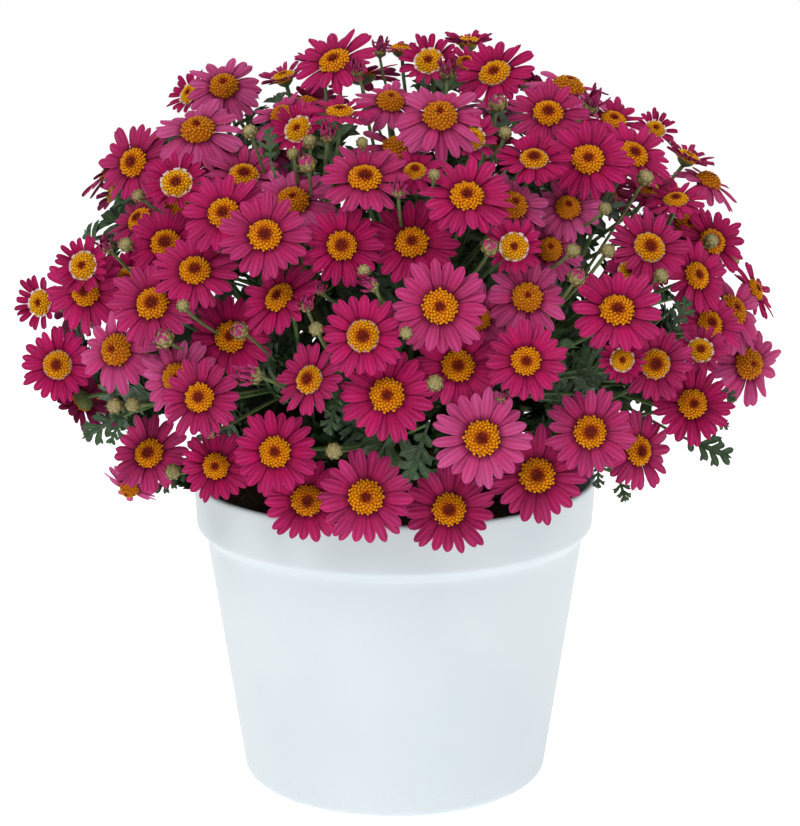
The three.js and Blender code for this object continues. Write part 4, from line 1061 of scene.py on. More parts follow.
class Wiring:
    """Adds nodes to a node tree and joins them."""

    def __init__(self, tree: bpy.types.NodeTree, effects: "Effects | None" = None) -> None:
        """Keeps the tree and the shared effects."""
        self.tree, self.effects = tree, effects

    def add(self, kind: str, settings: dict | None = None, **joins: object) -> bpy.types.Node:
        """Adds a node.

        Args:
            kind: the node's type.
            settings: values of its own properties.
            joins: what its inputs take, as `join` reads it.

        Returns:
            The node.
        """
        node = self.tree.nodes.new(kind)
        for key, value in (settings or {}).items():
            setattr(node, key, value)
        self.join(node, **joins)
        return node

    def join(self, node: bpy.types.Node, **joins: object) -> None:
        """Joins values to the inputs of a node.

        Args:
            node: the node.
            joins: for each input, named with underscores or as i0, i1..., an output or a plain value.
        """
        for key, value in joins.items():
            numbered = key[0] == "i" and key[1:].isdigit()
            socket = node.inputs[int(key[1:]) if numbered else key.replace("_", " ")]
            if isinstance(value, Value):
                self.tree.links.new(value.socket, socket)
            else:
                socket.default_value = value

    def out(self, kind: str, settings: dict | None = None, **joins: object) -> Value:
        """Adds a node and returns its first output."""
        return Value(self, self.add(kind, settings, **joins).outputs[0])

    def maths(self, operation: str, *values: object) -> Value:
        """A Math node; returns its output."""
        joins = {f"i{k}": value for k, value in enumerate(values)}
        return self.out("ShaderNodeMath", {"operation": operation}, **joins)

    def blend(self, share: object, first: object, second: object) -> Value:
        """One colour laid over another by a share; returns the colour."""
        node = self.add("ShaderNodeMix", {"data_type": "RGBA"}, i0=share, i6=first, i7=second)
        return Value(self, node.outputs[2])

    def split(self, vector: Value) -> tuple[Value, ...]:
        """The three numbers of a vector."""
        return tuple(Value(self, part) for part in self.add("ShaderNodeSeparateXYZ", None, i0=vector).outputs)

    def parts(self, name: str) -> tuple[Value, ...]:
        """The three numbers of a vector attribute of the mesh."""
        read = self.add("ShaderNodeAttribute", {"attribute_name": name, "attribute_type": "GEOMETRY"})
        return self.split(Value(self, read.outputs["Vector"]))

    def places(self) -> Value:
        """Object coordinates."""
        return Value(self, self.add("ShaderNodeTexCoord").outputs["Object"])

    def noise(self, place: Value, scale: Value, detail: object) -> Value:
        """Noise from 0 to 1."""
        return self.out("ShaderNodeTexNoise", None, Vector=place, Scale=scale, Detail=detail)

    def drift(self, scale: float, detail: float = 3.0) -> Value:
        """The shared drift of tone."""
        tree = {"node_tree": self.effects.drift}
        return self.out("ShaderNodeGroup", tree, Place=self.places(), Scale=scale, Detail=detail)

    def ribs(self, along: Value, across: Value, own: Value, count: float) -> Value:
        """The shared lengthwise ribs."""
        tree = {"node_tree": self.effects.ribs}
        return self.out("ShaderNodeGroup", tree, Along=along, Across=across, Own=own, Count=count)

    def dust(self, scale: float, amount: float) -> Value:
        """The shared specks and dust."""
        tree = {"node_tree": self.effects.dust}
        return self.out("ShaderNodeGroup", tree, Place=self.places(), Scale=scale, Amount=amount)


class Effects:
    """Effects that several finishes share, each a node group that is built once."""

    def __init__(self) -> None:
        """Builds the groups."""
        self.drift = self.group("tone_drift", self.tone, Place=None, Scale=60.0, Detail=3.0)
        self.ribs = self.group("lengthwise_ribs", self.rib, Along=0.0, Across=0.0, Own=0.0, Count=8.0)
        self.dust = self.group("settled_dust", self.mask, Place=None, Scale=400.0, Amount=0.3)

    @staticmethod
    def group(name: str, formula: Callable[..., Value], **takes: float | None) -> bpy.types.NodeTree:
        """Builds a group with one output.

        Args:
            name: name of the group.
            formula: takes the wiring and the inputs, and gives the output.
            takes: start value of each input, or None for a vector.

        Returns:
            The group.
        """
        tree = bpy.data.node_groups.new(name, "ShaderNodeTree")
        for label, value in takes.items():
            kind = "NodeSocketVector" if value is None else "NodeSocketFloat"
            socket = tree.interface.new_socket(label, in_out="INPUT", socket_type=kind)
            if value is not None:
                socket.default_value = value
        tree.interface.new_socket("Share", in_out="OUTPUT", socket_type="NodeSocketFloat")
        wire = Wiring(tree)
        given = [Value(wire, socket) for socket in wire.add("NodeGroupInput").outputs]
        wire.add("NodeGroupOutput", None, Share=formula(wire, *given[: len(takes)]))
        return tree

    @staticmethod
    def tone(wire: Wiring, place: Value, scale: Value, detail: Value) -> Value:
        """Slow drift of tone: noise of a given scale, spread to run from 0 to 1."""
        return wire.noise(place, scale, detail).step(0.3, 0.7)

    @staticmethod
    def rib(wire: Wiring, along: Value, across: Value, own: Value, count: Value) -> Value:
        """Fine ribs that run lengthwise: a wave across the blade, bent a little from copy to copy."""
        sway = wire.maths("SINE", along * 5.0 + own) * 0.04
        return wire.maths("COSINE", (across + sway) * (count * 6.2832)) * 0.5 + 0.5

    @staticmethod
    def mask(wire: Wiring, place: Value, scale: Value, amount: Value) -> Value:
        """Specks and settled dust: fine noise kept only where it is strongest."""
        noise = wire.noise(place, scale, 4.0)
        return wire.maths("GREATER_THAN", noise, 0.78 - amount * 0.4) * noise.step(0.5, 0.8)


@dataclass(frozen=True)
class Finish:
    """What every finish has: name, roughness and how uneven it is, gleam, and strength and depth of relief."""

    name: str
    roughness: float = 0.6
    uneven: float = 0.0
    gleam: float = 0.5
    relief: tuple[float, float] = (0.0, 0.0)

    def material(self, effects: Effects) -> bpy.types.Material:
        """Builds the material from the colour and the relief that `paint` gives.

        Args:
            effects: the shared effects.

        Returns:
            The material.
        """
        material = bpy.data.materials.new(self.name)
        material.use_nodes = True
        wire = Wiring(material.node_tree, effects)
        surface = material.node_tree.nodes["Principled BSDF"]
        colour, height = self.paint(wire)
        rough = wire.drift(900.0) * self.uneven + self.roughness if self.uneven else self.roughness
        wire.join(surface, Base_Color=colour, Roughness=rough, Specular_IOR_Level=self.gleam)
        if height:
            strength, depth = self.relief
            bump = wire.out("ShaderNodeBump", None, Height=height, Strength=strength, Distance=depth)
            wire.join(surface, Normal=bump)
        return material


@dataclass(frozen=True)
class PetalFinish(Finish):
    """Petals: deep magenta with fine ribs, paler when old, with a white foot when young, a painted highlight along the
    ribs and painted shade near the disc and in the fine grooves.
    """

    name: str = "petal_magenta"
    roughness: float = 0.5
    gleam: float = 0.08
    relief: tuple[float, float] = (0.6, 0.0005)
    deep: tuple = screen(126, 0, 50)
    bright: tuple = screen(192, 0, 88)
    # painted highlight: bright pink laid along the crests of the ribs
    crest: tuple = screen(224, 54, 136)
    pale: tuple = screen(214, 100, 160)
    under: tuple = screen(190, 70, 132)
    white: tuple = screen(250, 232, 236)
    # painted shade: the colour laid near the disc and in the fine grooves
    dark: tuple = screen(84, 0, 34)

    def paint(self, wire: Wiring) -> tuple[Value, Value]:
        """Reads growth as along, across and side, and kind as own draw, pale and ring.

        Args:
            wire: the material's wiring.

        Returns:
            Colour and relief.
        """
        along, across, side = wire.parts("growth")
        own, pale, ring = wire.parts("kind")
        rib, fine = wire.ribs(along, across, own, 2.0), wire.ribs(along, across, own, 9.0)
        colour = wire.blend(wire.drift(110.0) * 0.35 + own * 0.65, self.deep, self.bright)
        # Painted highlight along the crests of the ribs, towards the tip.
        colour = colour.coat(rib * (along.step(0.25, 0.8) * 0.42), self.crest)
        colour = colour.coat(pale * (along * 0.55 + 0.45) * (rib * 0.35 + 0.65), self.pale)
        colour = colour.coat((1.0 - side) * 0.5, self.under)
        # Painted shade: darker at the petal's foot near the disc and along the fine grooves.
        foot = wire.maths("MAXIMUM", 0.75 - along.step(0.05, 0.45), 0.0)
        colour = colour.coat(fine * 0.26 + foot, self.dark)
        near = (ring * 0.2 + 0.06 - along).step(0.0, 0.06)
        return colour.coat(near * ring, self.white), rib + fine * 0.5


@dataclass(frozen=True)
class FloretFinish(Finish):
    """The tiny florets of a disc: golden outside, maroon in the middle, lemon when young, with painted shade low on the
    florets and on the dome between them.
    """

    name: str = "floret_gold"
    roughness: float = 0.7
    gleam: float = 0.12
    gold: tuple = screen(246, 176, 8)
    rich: tuple = screen(224, 120, 4)
    lemon: tuple = screen(240, 198, 24)
    maroon: tuple = screen(88, 10, 22)
    # rust orange: the real halo round the maroon heart, and also the painted shade low on the florets
    rust: tuple = screen(170, 64, 6)
    olive: tuple = screen(150, 96, 30)

    def paint(self, wire: Wiring) -> tuple[Value, None]:
        """Reads growth as height and share of the disc's radius, and kind as own draw, lemon and heart.

        Args:
            wire: the material's wiring.

        Returns:
            Colour and no relief.
        """
        height, out, _ = wire.parts("growth")
        own, lemon, heart = wire.parts("kind")
        colour = wire.blend(own * 0.5 + wire.drift(500.0) * 0.5, self.rich, self.gold)
        colour = colour.coat(wire.maths("MAXIMUM", lemon, 0.0), self.lemon)
        aged = wire.maths("MAXIMUM", 0.0 - lemon, 0.0) * 3.0
        colour = colour.coat(aged * (own * 0.6 + 0.4), self.olive)
        share = wire.maths("DIVIDE", out - own * 0.08, wire.maths("MAXIMUM", heart, 0.02))
        colour = colour.coat((1.0 - share.step(1.0, 1.7)) * 0.85, self.rust)
        colour = colour.coat(1.0 - share.step(0.7, 1.25), self.maroon)
        # Painted shade: rust laid low on each floret and on the dome between florets.
        return colour.coat((1.0 - height) * 0.6, self.rust), None


@dataclass(frozen=True)
class LeafFinish(Finish):
    """Leaves: dark green to blue-green above and greyer beneath, with a pale midrib."""

    name: str = "leaf_green"
    roughness: float = 0.48
    gleam: float = 0.4
    relief: tuple[float, float] = (0.4, 0.0004)
    dark: tuple = screen(20, 38, 20)
    light: tuple = screen(56, 84, 40)
    bluish: tuple = screen(42, 72, 50)
    under: tuple = screen(88, 116, 82)
    vein: tuple = screen(116, 144, 90)

    def paint(self, wire: Wiring) -> tuple[Value, Value]:
        """Reads growth as along, across and side, and kind as own draw and how bluish.

        Args:
            wire: the material's wiring.

        Returns:
            Colour and relief.
        """
        along, across, side = wire.parts("growth")
        own, blue, _ = wire.parts("kind")
        rib = 1.0 - wire.maths("ABSOLUTE", across - 0.5).step(0.03, 0.12)
        colour = wire.blend(wire.drift(120.0) * 0.55 + own * 0.45, self.dark, self.light)
        colour = colour.coat(blue * 0.45, self.bluish).coat(rib * (along * -0.3 + 0.4), self.vein)
        return colour.coat((1.0 - side) * 0.6, self.under), wire.drift(700.0) * 0.3 - rib


@dataclass(frozen=True)
class StalkFinish(Finish):
    """Stalks and cups: mid green with ribs; `kind` turns it olive brown for the scales of buds."""

    name: str = "stalk_green"
    roughness: float = 0.55
    relief: tuple[float, float] = (0.3, 0.0003)
    green: tuple = screen(52, 78, 40)
    fresh: tuple = screen(98, 124, 66)
    olive: tuple = screen(128, 118, 66)
    cream: tuple = screen(190, 168, 118)
    brown: tuple = screen(96, 52, 40)

    def paint(self, wire: Wiring) -> tuple[Value, Value]:
        """Reads growth as along and across, and kind as own draw, olive and how cream the margins are.

        Args:
            wire: the material's wiring.

        Returns:
            Colour and relief.
        """
        along, across, _ = wire.parts("growth")
        own, olive, cream = wire.parts("kind")
        colour = wire.blend(wire.drift(200.0) * 0.6 + own * 0.4, self.green, self.fresh)
        colour = colour.coat(olive, self.olive).coat(along.step(0.55, 0.95) * cream, self.cream)
        foot = (1.0 - along.step(0.05, 0.45)) * olive
        return colour.coat(foot * 0.6, self.brown), wire.ribs(along, across, own, 6.0)


@dataclass(frozen=True)
class PotFinish(Finish):
    """White moulded plastic, faintly blue, with a little settled dust near the foot."""

    name: str = "pot_white"
    roughness: float = 0.38
    uneven: float = 0.1
    relief: tuple[float, float] = (0.06, 0.0002)
    white: tuple = screen(209, 217, 221)
    cool: tuple = screen(203, 213, 218)
    dust: tuple = screen(196, 198, 190)

    def paint(self, wire: Wiring) -> tuple[Value, Value]:
        """Gives the colour, dusty near the foot, and a fine grain.

        Args:
            wire: the nodes of the material.

        Returns:
            Colour and relief.
        """
        low = 1.0 - wire.split(wire.places())[2].step(0.0, 0.03)
        colour = wire.blend(wire.drift(14.0), self.white, self.cool)
        return colour.coat(wire.dust(500.0, 0.45) * (low * 0.6), self.dust), wire.drift(900.0)


@dataclass(frozen=True)
class CompostFinish(Finish):
    """Dark compost with fibres and a few pale grains."""

    name: str = "compost_dark"
    roughness: float = 0.95
    gleam: float = 0.2
    relief: tuple[float, float] = (0.8, 0.002)
    dark: tuple = screen(34, 24, 17)
    brown: tuple = screen(78, 56, 38)
    grain: tuple = screen(168, 158, 142)

    def paint(self, wire: Wiring) -> tuple[Value, Value]:
        """Gives the colour, by the own draw of each crumb and with pale grains, and a coarse relief.

        Args:
            wire: the nodes of the material.

        Returns:
            Colour and relief.
        """
        drift, own = wire.drift(260.0, 6.0), wire.parts("kind")[0]
        colour = wire.blend(drift * 0.6 + own * 0.3, self.dark, self.brown)
        return colour.coat(wire.dust(700.0, 0.2) * 0.7, self.grain), drift


@dataclass(frozen=True)
class BarkFinish(Finish):
    """Brown bark with rough ridges on the trunk, greener on the young branches."""

    name: str = "bark_brown"
    roughness: float = 0.85
    relief: tuple[float, float] = (0.7, 0.001)
    dark: tuple = screen(66, 50, 34)
    light: tuple = screen(138, 118, 86)
    green: tuple = screen(84, 96, 54)

    def paint(self, wire: Wiring) -> tuple[Value, Value]:
        """Gives the colour, greener by the second number of kind, and ridges with a drift.

        Args:
            wire: the nodes of the material.

        Returns:
            Colour and relief.
        """
        (along, across, _), (own, young, _) = wire.parts("growth"), wire.parts("kind")
        ridges = wire.ribs(along, across, own, 9.0) + wire.drift(150.0, 6.0)
        return wire.blend(ridges * 0.5, self.dark, self.light).coat(young * 0.6, self.green), ridges


# Sub-assemblies.


@dataclass
class FlowerPot:
    """The pot: a turned shell with rounded foot, collar and rim, and drainage holes in its floor."""

    sizes: PotSizes = POT
    sides: int = 128
    ring_count: int = 6

    def inside(self) -> list[tuple[float, float]]:
        """Radius and height of the inner wall, from the floor up.

        Returns:
            Pairs in millimetres.
        """
        s = self.sizes
        radii = np.array([s.body_foot_radius, s.body_top_radius, s.collar_radius, s.rim_radius])
        foot, top, collar, rim = radii - s.wall
        return [
            (foot - 3, s.floor), (foot - 0.9, s.floor + 0.9), (foot, s.floor + 3), (top, s.shoulder_low + 2),
            (collar, s.collar_low + 3), (rim, s.height - 0.8), (rim + 0.6, s.height),
        ]

    def outside(self) -> list[tuple[float, float]]:
        """Radius and height of the outer wall, from the middle of the underside up.

        Returns:
            Pairs in millimetres.
        """
        s = self.sizes
        foot, top, edge = s.body_foot_radius, s.body_top_radius, s.edge_round
        return [
            (40.0, 0.0), (76.0, 0.0),
            *((foot - edge + edge * math.sin(a), edge * (1 - math.cos(a)))
              for a in np.linspace(0, math.pi / 2, self.ring_count)),
            *((foot + (top - foot) * k, edge + (s.shoulder_low - edge) * k) for k in (0.03, 0.35, 0.7, 0.97, 0.995)),
            (top + 0.5, s.shoulder_low + 0.3),
            *((s.collar_radius + r, s.collar_low + z) for r, z in ((-1.2, -1.6), (-0.3, -0.5), (0.0, 0.8), (0.1, 3.0))),
            *((s.rim_radius - r, s.height - z) for r, z in ((0.1, 3.0), (0.0, 1.2), (0.4, 0.4), (1.0, 0.0))),
        ]

    def cutters(self) -> bpy.types.Object:
        """Rods that stand where the drainage holes go.

        Returns:
            One object of all rods.
        """
        s = self.sizes
        turn = (np.arange(s.drain_count) + 0.5) * 2 * math.pi / s.drain_count
        foot = np.stack([s.drain_circle * np.cos(turn), s.drain_circle * np.sin(turn), np.full(len(turn), -2.0)], 1)
        span = (0.0, s.floor + 6)
        skin = Skin("drain_cutters")
        skin.turned(foot, np.repeat(UP, len(turn), 0), span, np.full((1, 2, 1), s.drain_radius), span, 28)
        return skin.build()

    def build(self, effects: Effects) -> bpy.types.Object:
        """Builds the pot.

        Args:
            effects: the shared effects.

        Returns:
            The finished object.
        """
        profile = np.array(self.outside() + self.inside()[::-1])
        skin = Skin("flower_pot", PotFinish().material(effects))
        skin.turned(MIDDLE, UP, profile[:, 1], profile[None, :, :1], (0.0, self.sizes.floor), self.sides)
        pot = skin.build()
        cutters = self.cutters()
        cut = pot.modifiers.new("drainage", "BOOLEAN")
        cut.operation = "DIFFERENCE"
        cut.solver = "EXACT"
        cut.object = cutters
        view = bpy.context.evaluated_depsgraph_get()
        mesh = bpy.data.meshes.new_from_object(pot.evaluated_get(view))
        pot.modifiers.clear()
        pot.data = mesh
        if "OFBake" in mesh.uv_layers:
            mesh.uv_layers.remove(mesh.uv_layers["OFBake"])
        bpy.data.objects.remove(cutters)
        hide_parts("pot")
        return pot


@dataclass
class Compost:
    """The compost that fills the pot, uneven on top, with crumbs and bark chips on it."""

    sizes: PotSizes = POT
    sides: int = 96
    crumbs: int = 400
    relief: float = 1.6

    def top(self, x: Array, y: Array) -> Array:
        """Height of the uneven top at places x, y: a few waves added to the middle level.

        Args:
            x: in millimetres.
            y: in millimetres.

        Returns:
            Heights in millimetres.
        """
        wave = np.sin(x * 0.11 + 1.0) * np.cos(y * 0.13) + 0.6 * np.sin(x * 0.29 - y * 0.23)
        wave = wave + 0.35 * np.sin(x * 0.71 + y * 0.83)
        return self.sizes.soil_top - 1.2 + self.relief * 0.5 * wave

    def build(self, effects: Effects) -> bpy.types.Object:
        """Builds the filling.

        Args:
            effects: the shared effects.

        Returns:
            The finished object.
        """
        s = self.sizes
        gap = s.fit_gap
        foot, top, collar = np.array([s.body_foot_radius, s.body_top_radius, s.collar_radius]) - s.wall - gap
        wall = [
            (foot - 3, s.floor + gap), (foot, s.floor + 3), (top, s.shoulder_low + 2), (collar, s.collar_low + 3),
            (collar, s.soil_top - 3),
        ]
        across = [(r, s.soil_top) for r in np.linspace(s.collar_radius - s.wall - 1.6, s.stem_hole_radius, 26)]
        hole = [(s.stem_hole_radius, s.soil_top - 3), (s.stem_hole_radius, s.stem_hole_floor)]
        profile = np.array(wall + across + hole)
        rings = len(profile)
        poles = (s.floor + gap, s.stem_hole_floor)
        points = turned_points(MIDDLE, UP, profile[:, 1], profile[None, :, :1], poles, self.sides)
        grid = points[0, : rings * self.sides].reshape(rings, self.sides, 3)
        upper = slice(len(wall), len(wall) + len(across))
        grid[upper, :, 2] = self.top(grid[upper, :, 0], grid[upper, :, 1])
        skin = Skin("compost", CompostFinish().material(effects))
        skin.add(tube_template(rings, self.sides), points, tube_growth(rings, self.sides), (0.3, 0, 0))
        self.strew(skin)
        fill = skin.build()
        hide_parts("soil")
        return fill

    def strew(self, skin: Skin) -> None:
        """Strews crumbs and chips over the top, each a small block of eight sides.

        Args:
            skin: takes the crumbs.
        """
        n = np.arange(self.crumbs)
        r = 11.5 + (self.sizes.collar_radius - self.sizes.wall - 15) * np.sqrt(draws(n, 60))
        turn = 2 * math.pi * draws(n, 61)
        x, y = r * np.cos(turn), r * np.sin(turn)
        size = 0.9 + 2.6 * draws(n, 62) ** 3
        place = np.stack([x, y, self.top(x, y) - size * 0.2], 1)
        axis = unit(np.stack([draws(n, 63) - 0.5, draws(n, 64) - 0.5, np.full(len(n), 0.5)], 1))
        heights = np.stack([-0.5 * size, 0.1 * size, 0.6 * size], 1)
        radii = size[:, None, None] * (0.75 + 0.5 * draws(n[:, None, None] * 18 + np.arange(18).reshape(3, 6), 65))
        poles = np.stack([-0.8 * size, 0.9 * size], 1)
        kind = kinds(draws(n, 67) * 2, 0.0, 0.0)
        skin.turned(place, axis, heights, radii, poles, 6, kind, start=6 * draws(n, 66))


@dataclass
class WoodyStem:
    """The woody foot of the plant: a ridged trunk, a knobbly crown and a short branch for each spray."""

    sizes: CrownSizes = CROWN
    pot: PotSizes = POT
    sides: int = 20

    def build(self, growth: Growth, effects: Effects) -> bpy.types.Object:
        """Builds the stem.

        Args:
            growth: the grown plant.
            effects: the shared effects.

        Returns:
            The finished object.
        """
        c, p = self.sizes, self.pot
        skin = Skin("woody_stem_bark", BarkFinish().material(effects))
        low, high = p.stem_hole_floor + p.fit_gap, c.hub_height
        share = np.linspace(0, 1, 16)[:, None]
        angle = np.arange(self.sides) * 2 * math.pi / self.sides
        ridge = 0.92 + 0.06 * np.sin(5 * angle + 4 * share) + 0.03 * np.sin(9 * angle - 7 * share)
        radii = p.trunk_radius * (1 - 0.15 * share) * ridge
        skin.turned(MIDDLE, UP, np.linspace(low, high, 16), radii[None], (low, high), self.sides)
        lift = np.linspace(-0.94, 0.94, 9)[:, None]
        knob = 0.86 + 0.1 * np.sin(3 * angle + 6 * lift) + 0.05 * np.sin(7 * angle - 9 * lift)
        radii = c.crown_radius * np.sqrt(1 - lift * lift) * knob
        end = c.crown_radius * 0.97
        skin.turned(HUB[None], UP, c.crown_radius * lift[:, 0], radii[None], (-end, end), self.sides, (0.4, 0.2, 0))
        ways = unit(growth.cores - HUB)
        path = HUB + ways[:, None] * np.linspace(c.crown_radius * 0.6, c.branch_reach, 6)[:, None]
        radius = np.tile(c.branch_radius * np.array([1.35, 1.1, 0.95, 0.9, 0.86, 0.84]), (len(ways), 1))
        skin.rods(path, radius, 10, kinds(draws(np.arange(len(ways)), 70), 0.6, 0.0))
        stem = skin.build()
        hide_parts("woody_stem")
        return stem


@dataclass(frozen=True)
class PetalHabit:
    """How the petals of a head of some age stand, as shares of its radius and in radians."""

    count: int
    half_width: float
    tip: float
    arch: float
    spread: float
    foot: float
    cup: float
    pale: float
    ring: float


@dataclass(frozen=True)
class DiscHabit:
    """The disc of a head: its radius as a share of the head's, dome in millimetres, and florets."""

    radius: float
    dome: float
    dimple: float
    florets: int
    lemon: float
    heart: float


PETALS = {
    Age.FULL: PetalHabit(22, 0.119, 0.05, 0.42, 0.15, 0.80, -0.22, 0.08, 0.0),
    Age.MID: PetalHabit(22, 0.117, 0.08, 0.30, 0.12, 0.80, -0.10, 0.04, 0.5),
    Age.YOUNG: PetalHabit(19, 0.114, 0.28, 0.10, 0.16, 0.84, 0.45, 0.08, 0.9),
    Age.AGED: PetalHabit(20, 0.128, -0.14, 0.45, 0.24, 0.80, -0.28, 0.62, 0.0),
}
DISCS = {
    Age.FULL: DiscHabit(0.34, 2.7, 0.9, 96, 0.1, 0.31),
    Age.MID: DiscHabit(0.355, 2.5, 0.8, 92, 0.3, 0.34),
    Age.YOUNG: DiscHabit(0.45, 2.3, 0.5, 84, 0.5, 0.26),
    Age.AGED: DiscHabit(0.345, 5.0, 0.3, 96, -0.2, 0.18),
}
PETAL_CUT = Cut(
    np.array([0.0, 0.18, 0.42, 0.68, 0.90, 1.0]), np.array([0.42, 0.70, 0.94, 1.0, 0.86, 0.56]),
    np.array([0.94, 0.992, 1.0, 0.988, 0.94]),
)
LOBE_CUT = Cut(
    np.array([0.0, 0.30, 0.62, 0.86, 1.0]), np.array([0.55, 0.80, 1.0, 0.78, 0.16]),
    np.array([0.96, 1.0, 0.96]),
)
RIB_CUT = Cut(
    np.array([0.0, 0.18, 0.36, 0.54, 0.72, 0.88, 1.0]), np.array([0.42, 0.50, 0.80, 0.95, 1.1, 1.0, 0.14]),
    np.array([0.96, 1.0, 0.96]),
)
SCALE_CUT = Cut(np.array([0.0, 0.4, 0.8, 1.0]), np.array([0.85, 1.0, 0.72, 0.2]), np.array([0.96, 1.0, 0.96]))

# Blooms that are paler than their age gives: place in the picture and how pale.
PALER = [
    (482, 438, 0.75), (440, 307, 0.42), (293, 202, 0.8), (244, 176, 0.45), (568, 88, 0.8), (440, 117, 0.55),
    (397, 150, 0.6), (708, 183, 0.5), (731, 311, 0.6), (748, 364, 0.6), (117, 350, 0.6), (178, 378, 0.75),
    (130, 487, 1), (590, 432, 0.35), (200, 131, 0.4), (362, 181, 0.3), (524, 297, 0.5), (264, 236, 0.25),
    (365, 497, 0.25),
]


@dataclass(frozen=True)
class LeafHabit:
    """A cut leaf: where its lobes stand along the rib, how long they are, and how they lean."""

    stands: tuple = (0.22, 0.40, 0.58, 0.76)
    lengths: tuple = (0.20, 0.36, 0.34, 0.23)
    leans: tuple = (0.90, 0.80, 0.70, 0.60)
    half_width: float = 0.060
    rib_width: float = 0.050
    tooth_stand: float = 0.5
    tooth_length: float = 0.16
    tooth_width: float = 0.036
    tooth_lean: float = 0.75
    thickness: float = 0.6


@dataclass
class Sprays:
    """All flowering sprays: blooms, buds, tufts, stalks and leaves."""

    growth: Growth
    effects: Effects
    leaf: LeafHabit = LeafHabit()
    leaf_tries: int = 170
    leaves_kept: int = 20
    low_leaves_kept: int = 30
    low_core: float = 212.0
    inner_tries: int = 60
    inner_leaves: int = 9
    stalk_rings: int = 12
    stalk_sides: int = 6

    def __post_init__(self) -> None:
        """Makes the finishes and places the further leaves."""
        looks = (PetalFinish(), FloretFinish(), LeafFinish(), StalkFinish())
        self.petal_look, self.floret_look, *self.green_looks = (look.material(self.effects) for look in looks)
        self.more_leaves = self.place_more_leaves()

    @staticmethod
    def paleness(heads: list[Head], habit: PetalHabit) -> Array:
        """How pale each head is: by its age, by a draw and by the list of paler blooms.

        Args:
            heads: the heads.
            habit: petals of their age.

        Returns:
            A share for each head.
        """
        own = habit.pale + 0.22 * draws([head.index for head in heads], 80) ** 2
        spots = np.array(PALER)
        for n, head in enumerate(heads):
            apart = np.hypot(spots[:, 0] - head.u, spots[:, 1] - head.v)
            if apart.min() < 9:
                own[n] = max(own[n], spots[int(np.argmin(apart)), 2])
        return own

    def add_petals(self, skin: Skin, heads: list[Head], age: Age) -> None:
        """Adds the petals of open heads: two layers of arched blades round each disc.

        Petal k of a head stands at the angle 2 pi (k + draw) / count, odd ones in the lower layer.

        Args:
            skin: the skin that takes them.
            heads: open heads of one age.
            age: that age.
        """
        habit, k = PETALS[age], np.arange(PETALS[age].count)
        place, face, radius, index = (values[:, None] for values in listed(heads))
        number, lower = index * 64 + k, k % 2
        turn = k + draws(index, 7) + 0.5 * (draws(number, 81) - 0.5)
        out = round_ways(face[:, 0], turn * 2 * math.pi / habit.count)
        inner = radius * DISCS[age].radius * habit.foot
        reach = radius * (0.90 + 0.14 * draws(number, 82) - 0.02 * lower)
        chord = np.arctan2(radius * habit.tip - 0.6, reach - inner)
        chord = chord + habit.spread * (draws(number, 83) * 2 - 1) - 0.09 * lower
        arch = habit.arch * (0.6 + 0.8 * draws(number, 84))
        petals = Blades(
            place + out * inner[..., None] + face * (0.75 - 0.85 * lower)[:, None], out, face,
            (reach - inner) / np.cos(chord) * (1 + arch * arch / 24),
            radius * habit.half_width * (0.88 + 0.24 * draws(number, 85)), chord + arch / 2, -arch,
            habit.cup * (0.5 + draws(number, 86)), 1.1 * (draws(number, 87) - 0.5), 0.55, 0.3,
        )
        pale = np.clip(self.paleness(heads, habit)[:, None] * (0.75 + 0.5 * draws(number, 88)), 0, 1)
        own = 0.55 * draws(index, 89) + 0.45 * draws(number, 90)
        skin.blades(petals, PETAL_CUT, kinds(own, pale, habit.ring))

    def add_discs(self, skin: Skin, heads: list[Head], age: Age) -> None:
        """Adds the discs of open heads: a low dome set with florets in a golden-angle spiral.

        Floret k stands at radius R sqrt((k + 1/2) / count) and leans outward with it.

        Args:
            skin: the skin that takes them.
            heads: open heads of one age.
            age: that age.
        """
        habit = DISCS[age]
        place, face, radius, index = listed(heads)
        radius = radius[:, None] * habit.radius

        def dome(share: object) -> object:
            """Height of the dome at a share of its radius, with a dimple in the middle."""
            return 0.7 + habit.dome * (1 - share ** 2.6) - habit.dimple * np.exp(-((share / 0.26) ** 2))

        rings = np.array([1.0, 1.0, 0.86, 0.6, 0.3])
        heights = dome(rings) - 0.5
        heights[0] = -0.6
        growth = tube_growth(5, 14)
        # Height read by the floret finish: low on the dome, so that the dome gets painted shade between florets.
        growth[:, 0] = 0.15
        growth[:, 1] = np.append(np.repeat(rings, 14), [1.0, 0.0])
        heart = habit.heart * (0.8 + 0.4 * draws(index, 91))
        poles = (-0.6, dome(0.0) - 0.5)
        kind = kinds(0.3, habit.lemon, heart)
        skin.turned(place, face, heights, (radius * rings)[..., None], poles, 14, kind, growth=growth)

        k = np.arange(habit.florets)
        number = index[:, None] * 128 + k
        share = np.sqrt((k + 0.5) / habit.florets) * (1 + 0.03 * (draws(number, 92) - 0.5))
        out = round_ways(face, k * GOLDEN + 6 * draws(index, 93)[:, None])
        up = face[:, None]
        foot = place[:, None] + out * (radius * share * 0.97)[..., None] + up * (dome(share) - 0.6)[..., None]
        axis = unit(up + out * (0.95 * share ** 1.5)[..., None])
        wide = radius * math.sqrt(math.pi / habit.florets) * 0.5 * (0.9 + 0.3 * draws(number, 94))
        ripe = np.clip((share - habit.heart) / 0.25, 0, 1)
        high = wide * (1.25 + 0.5 * draws(number, 95)) * (0.8 + 0.35 * ripe)
        growth = np.ones((number.size, 10, 3))
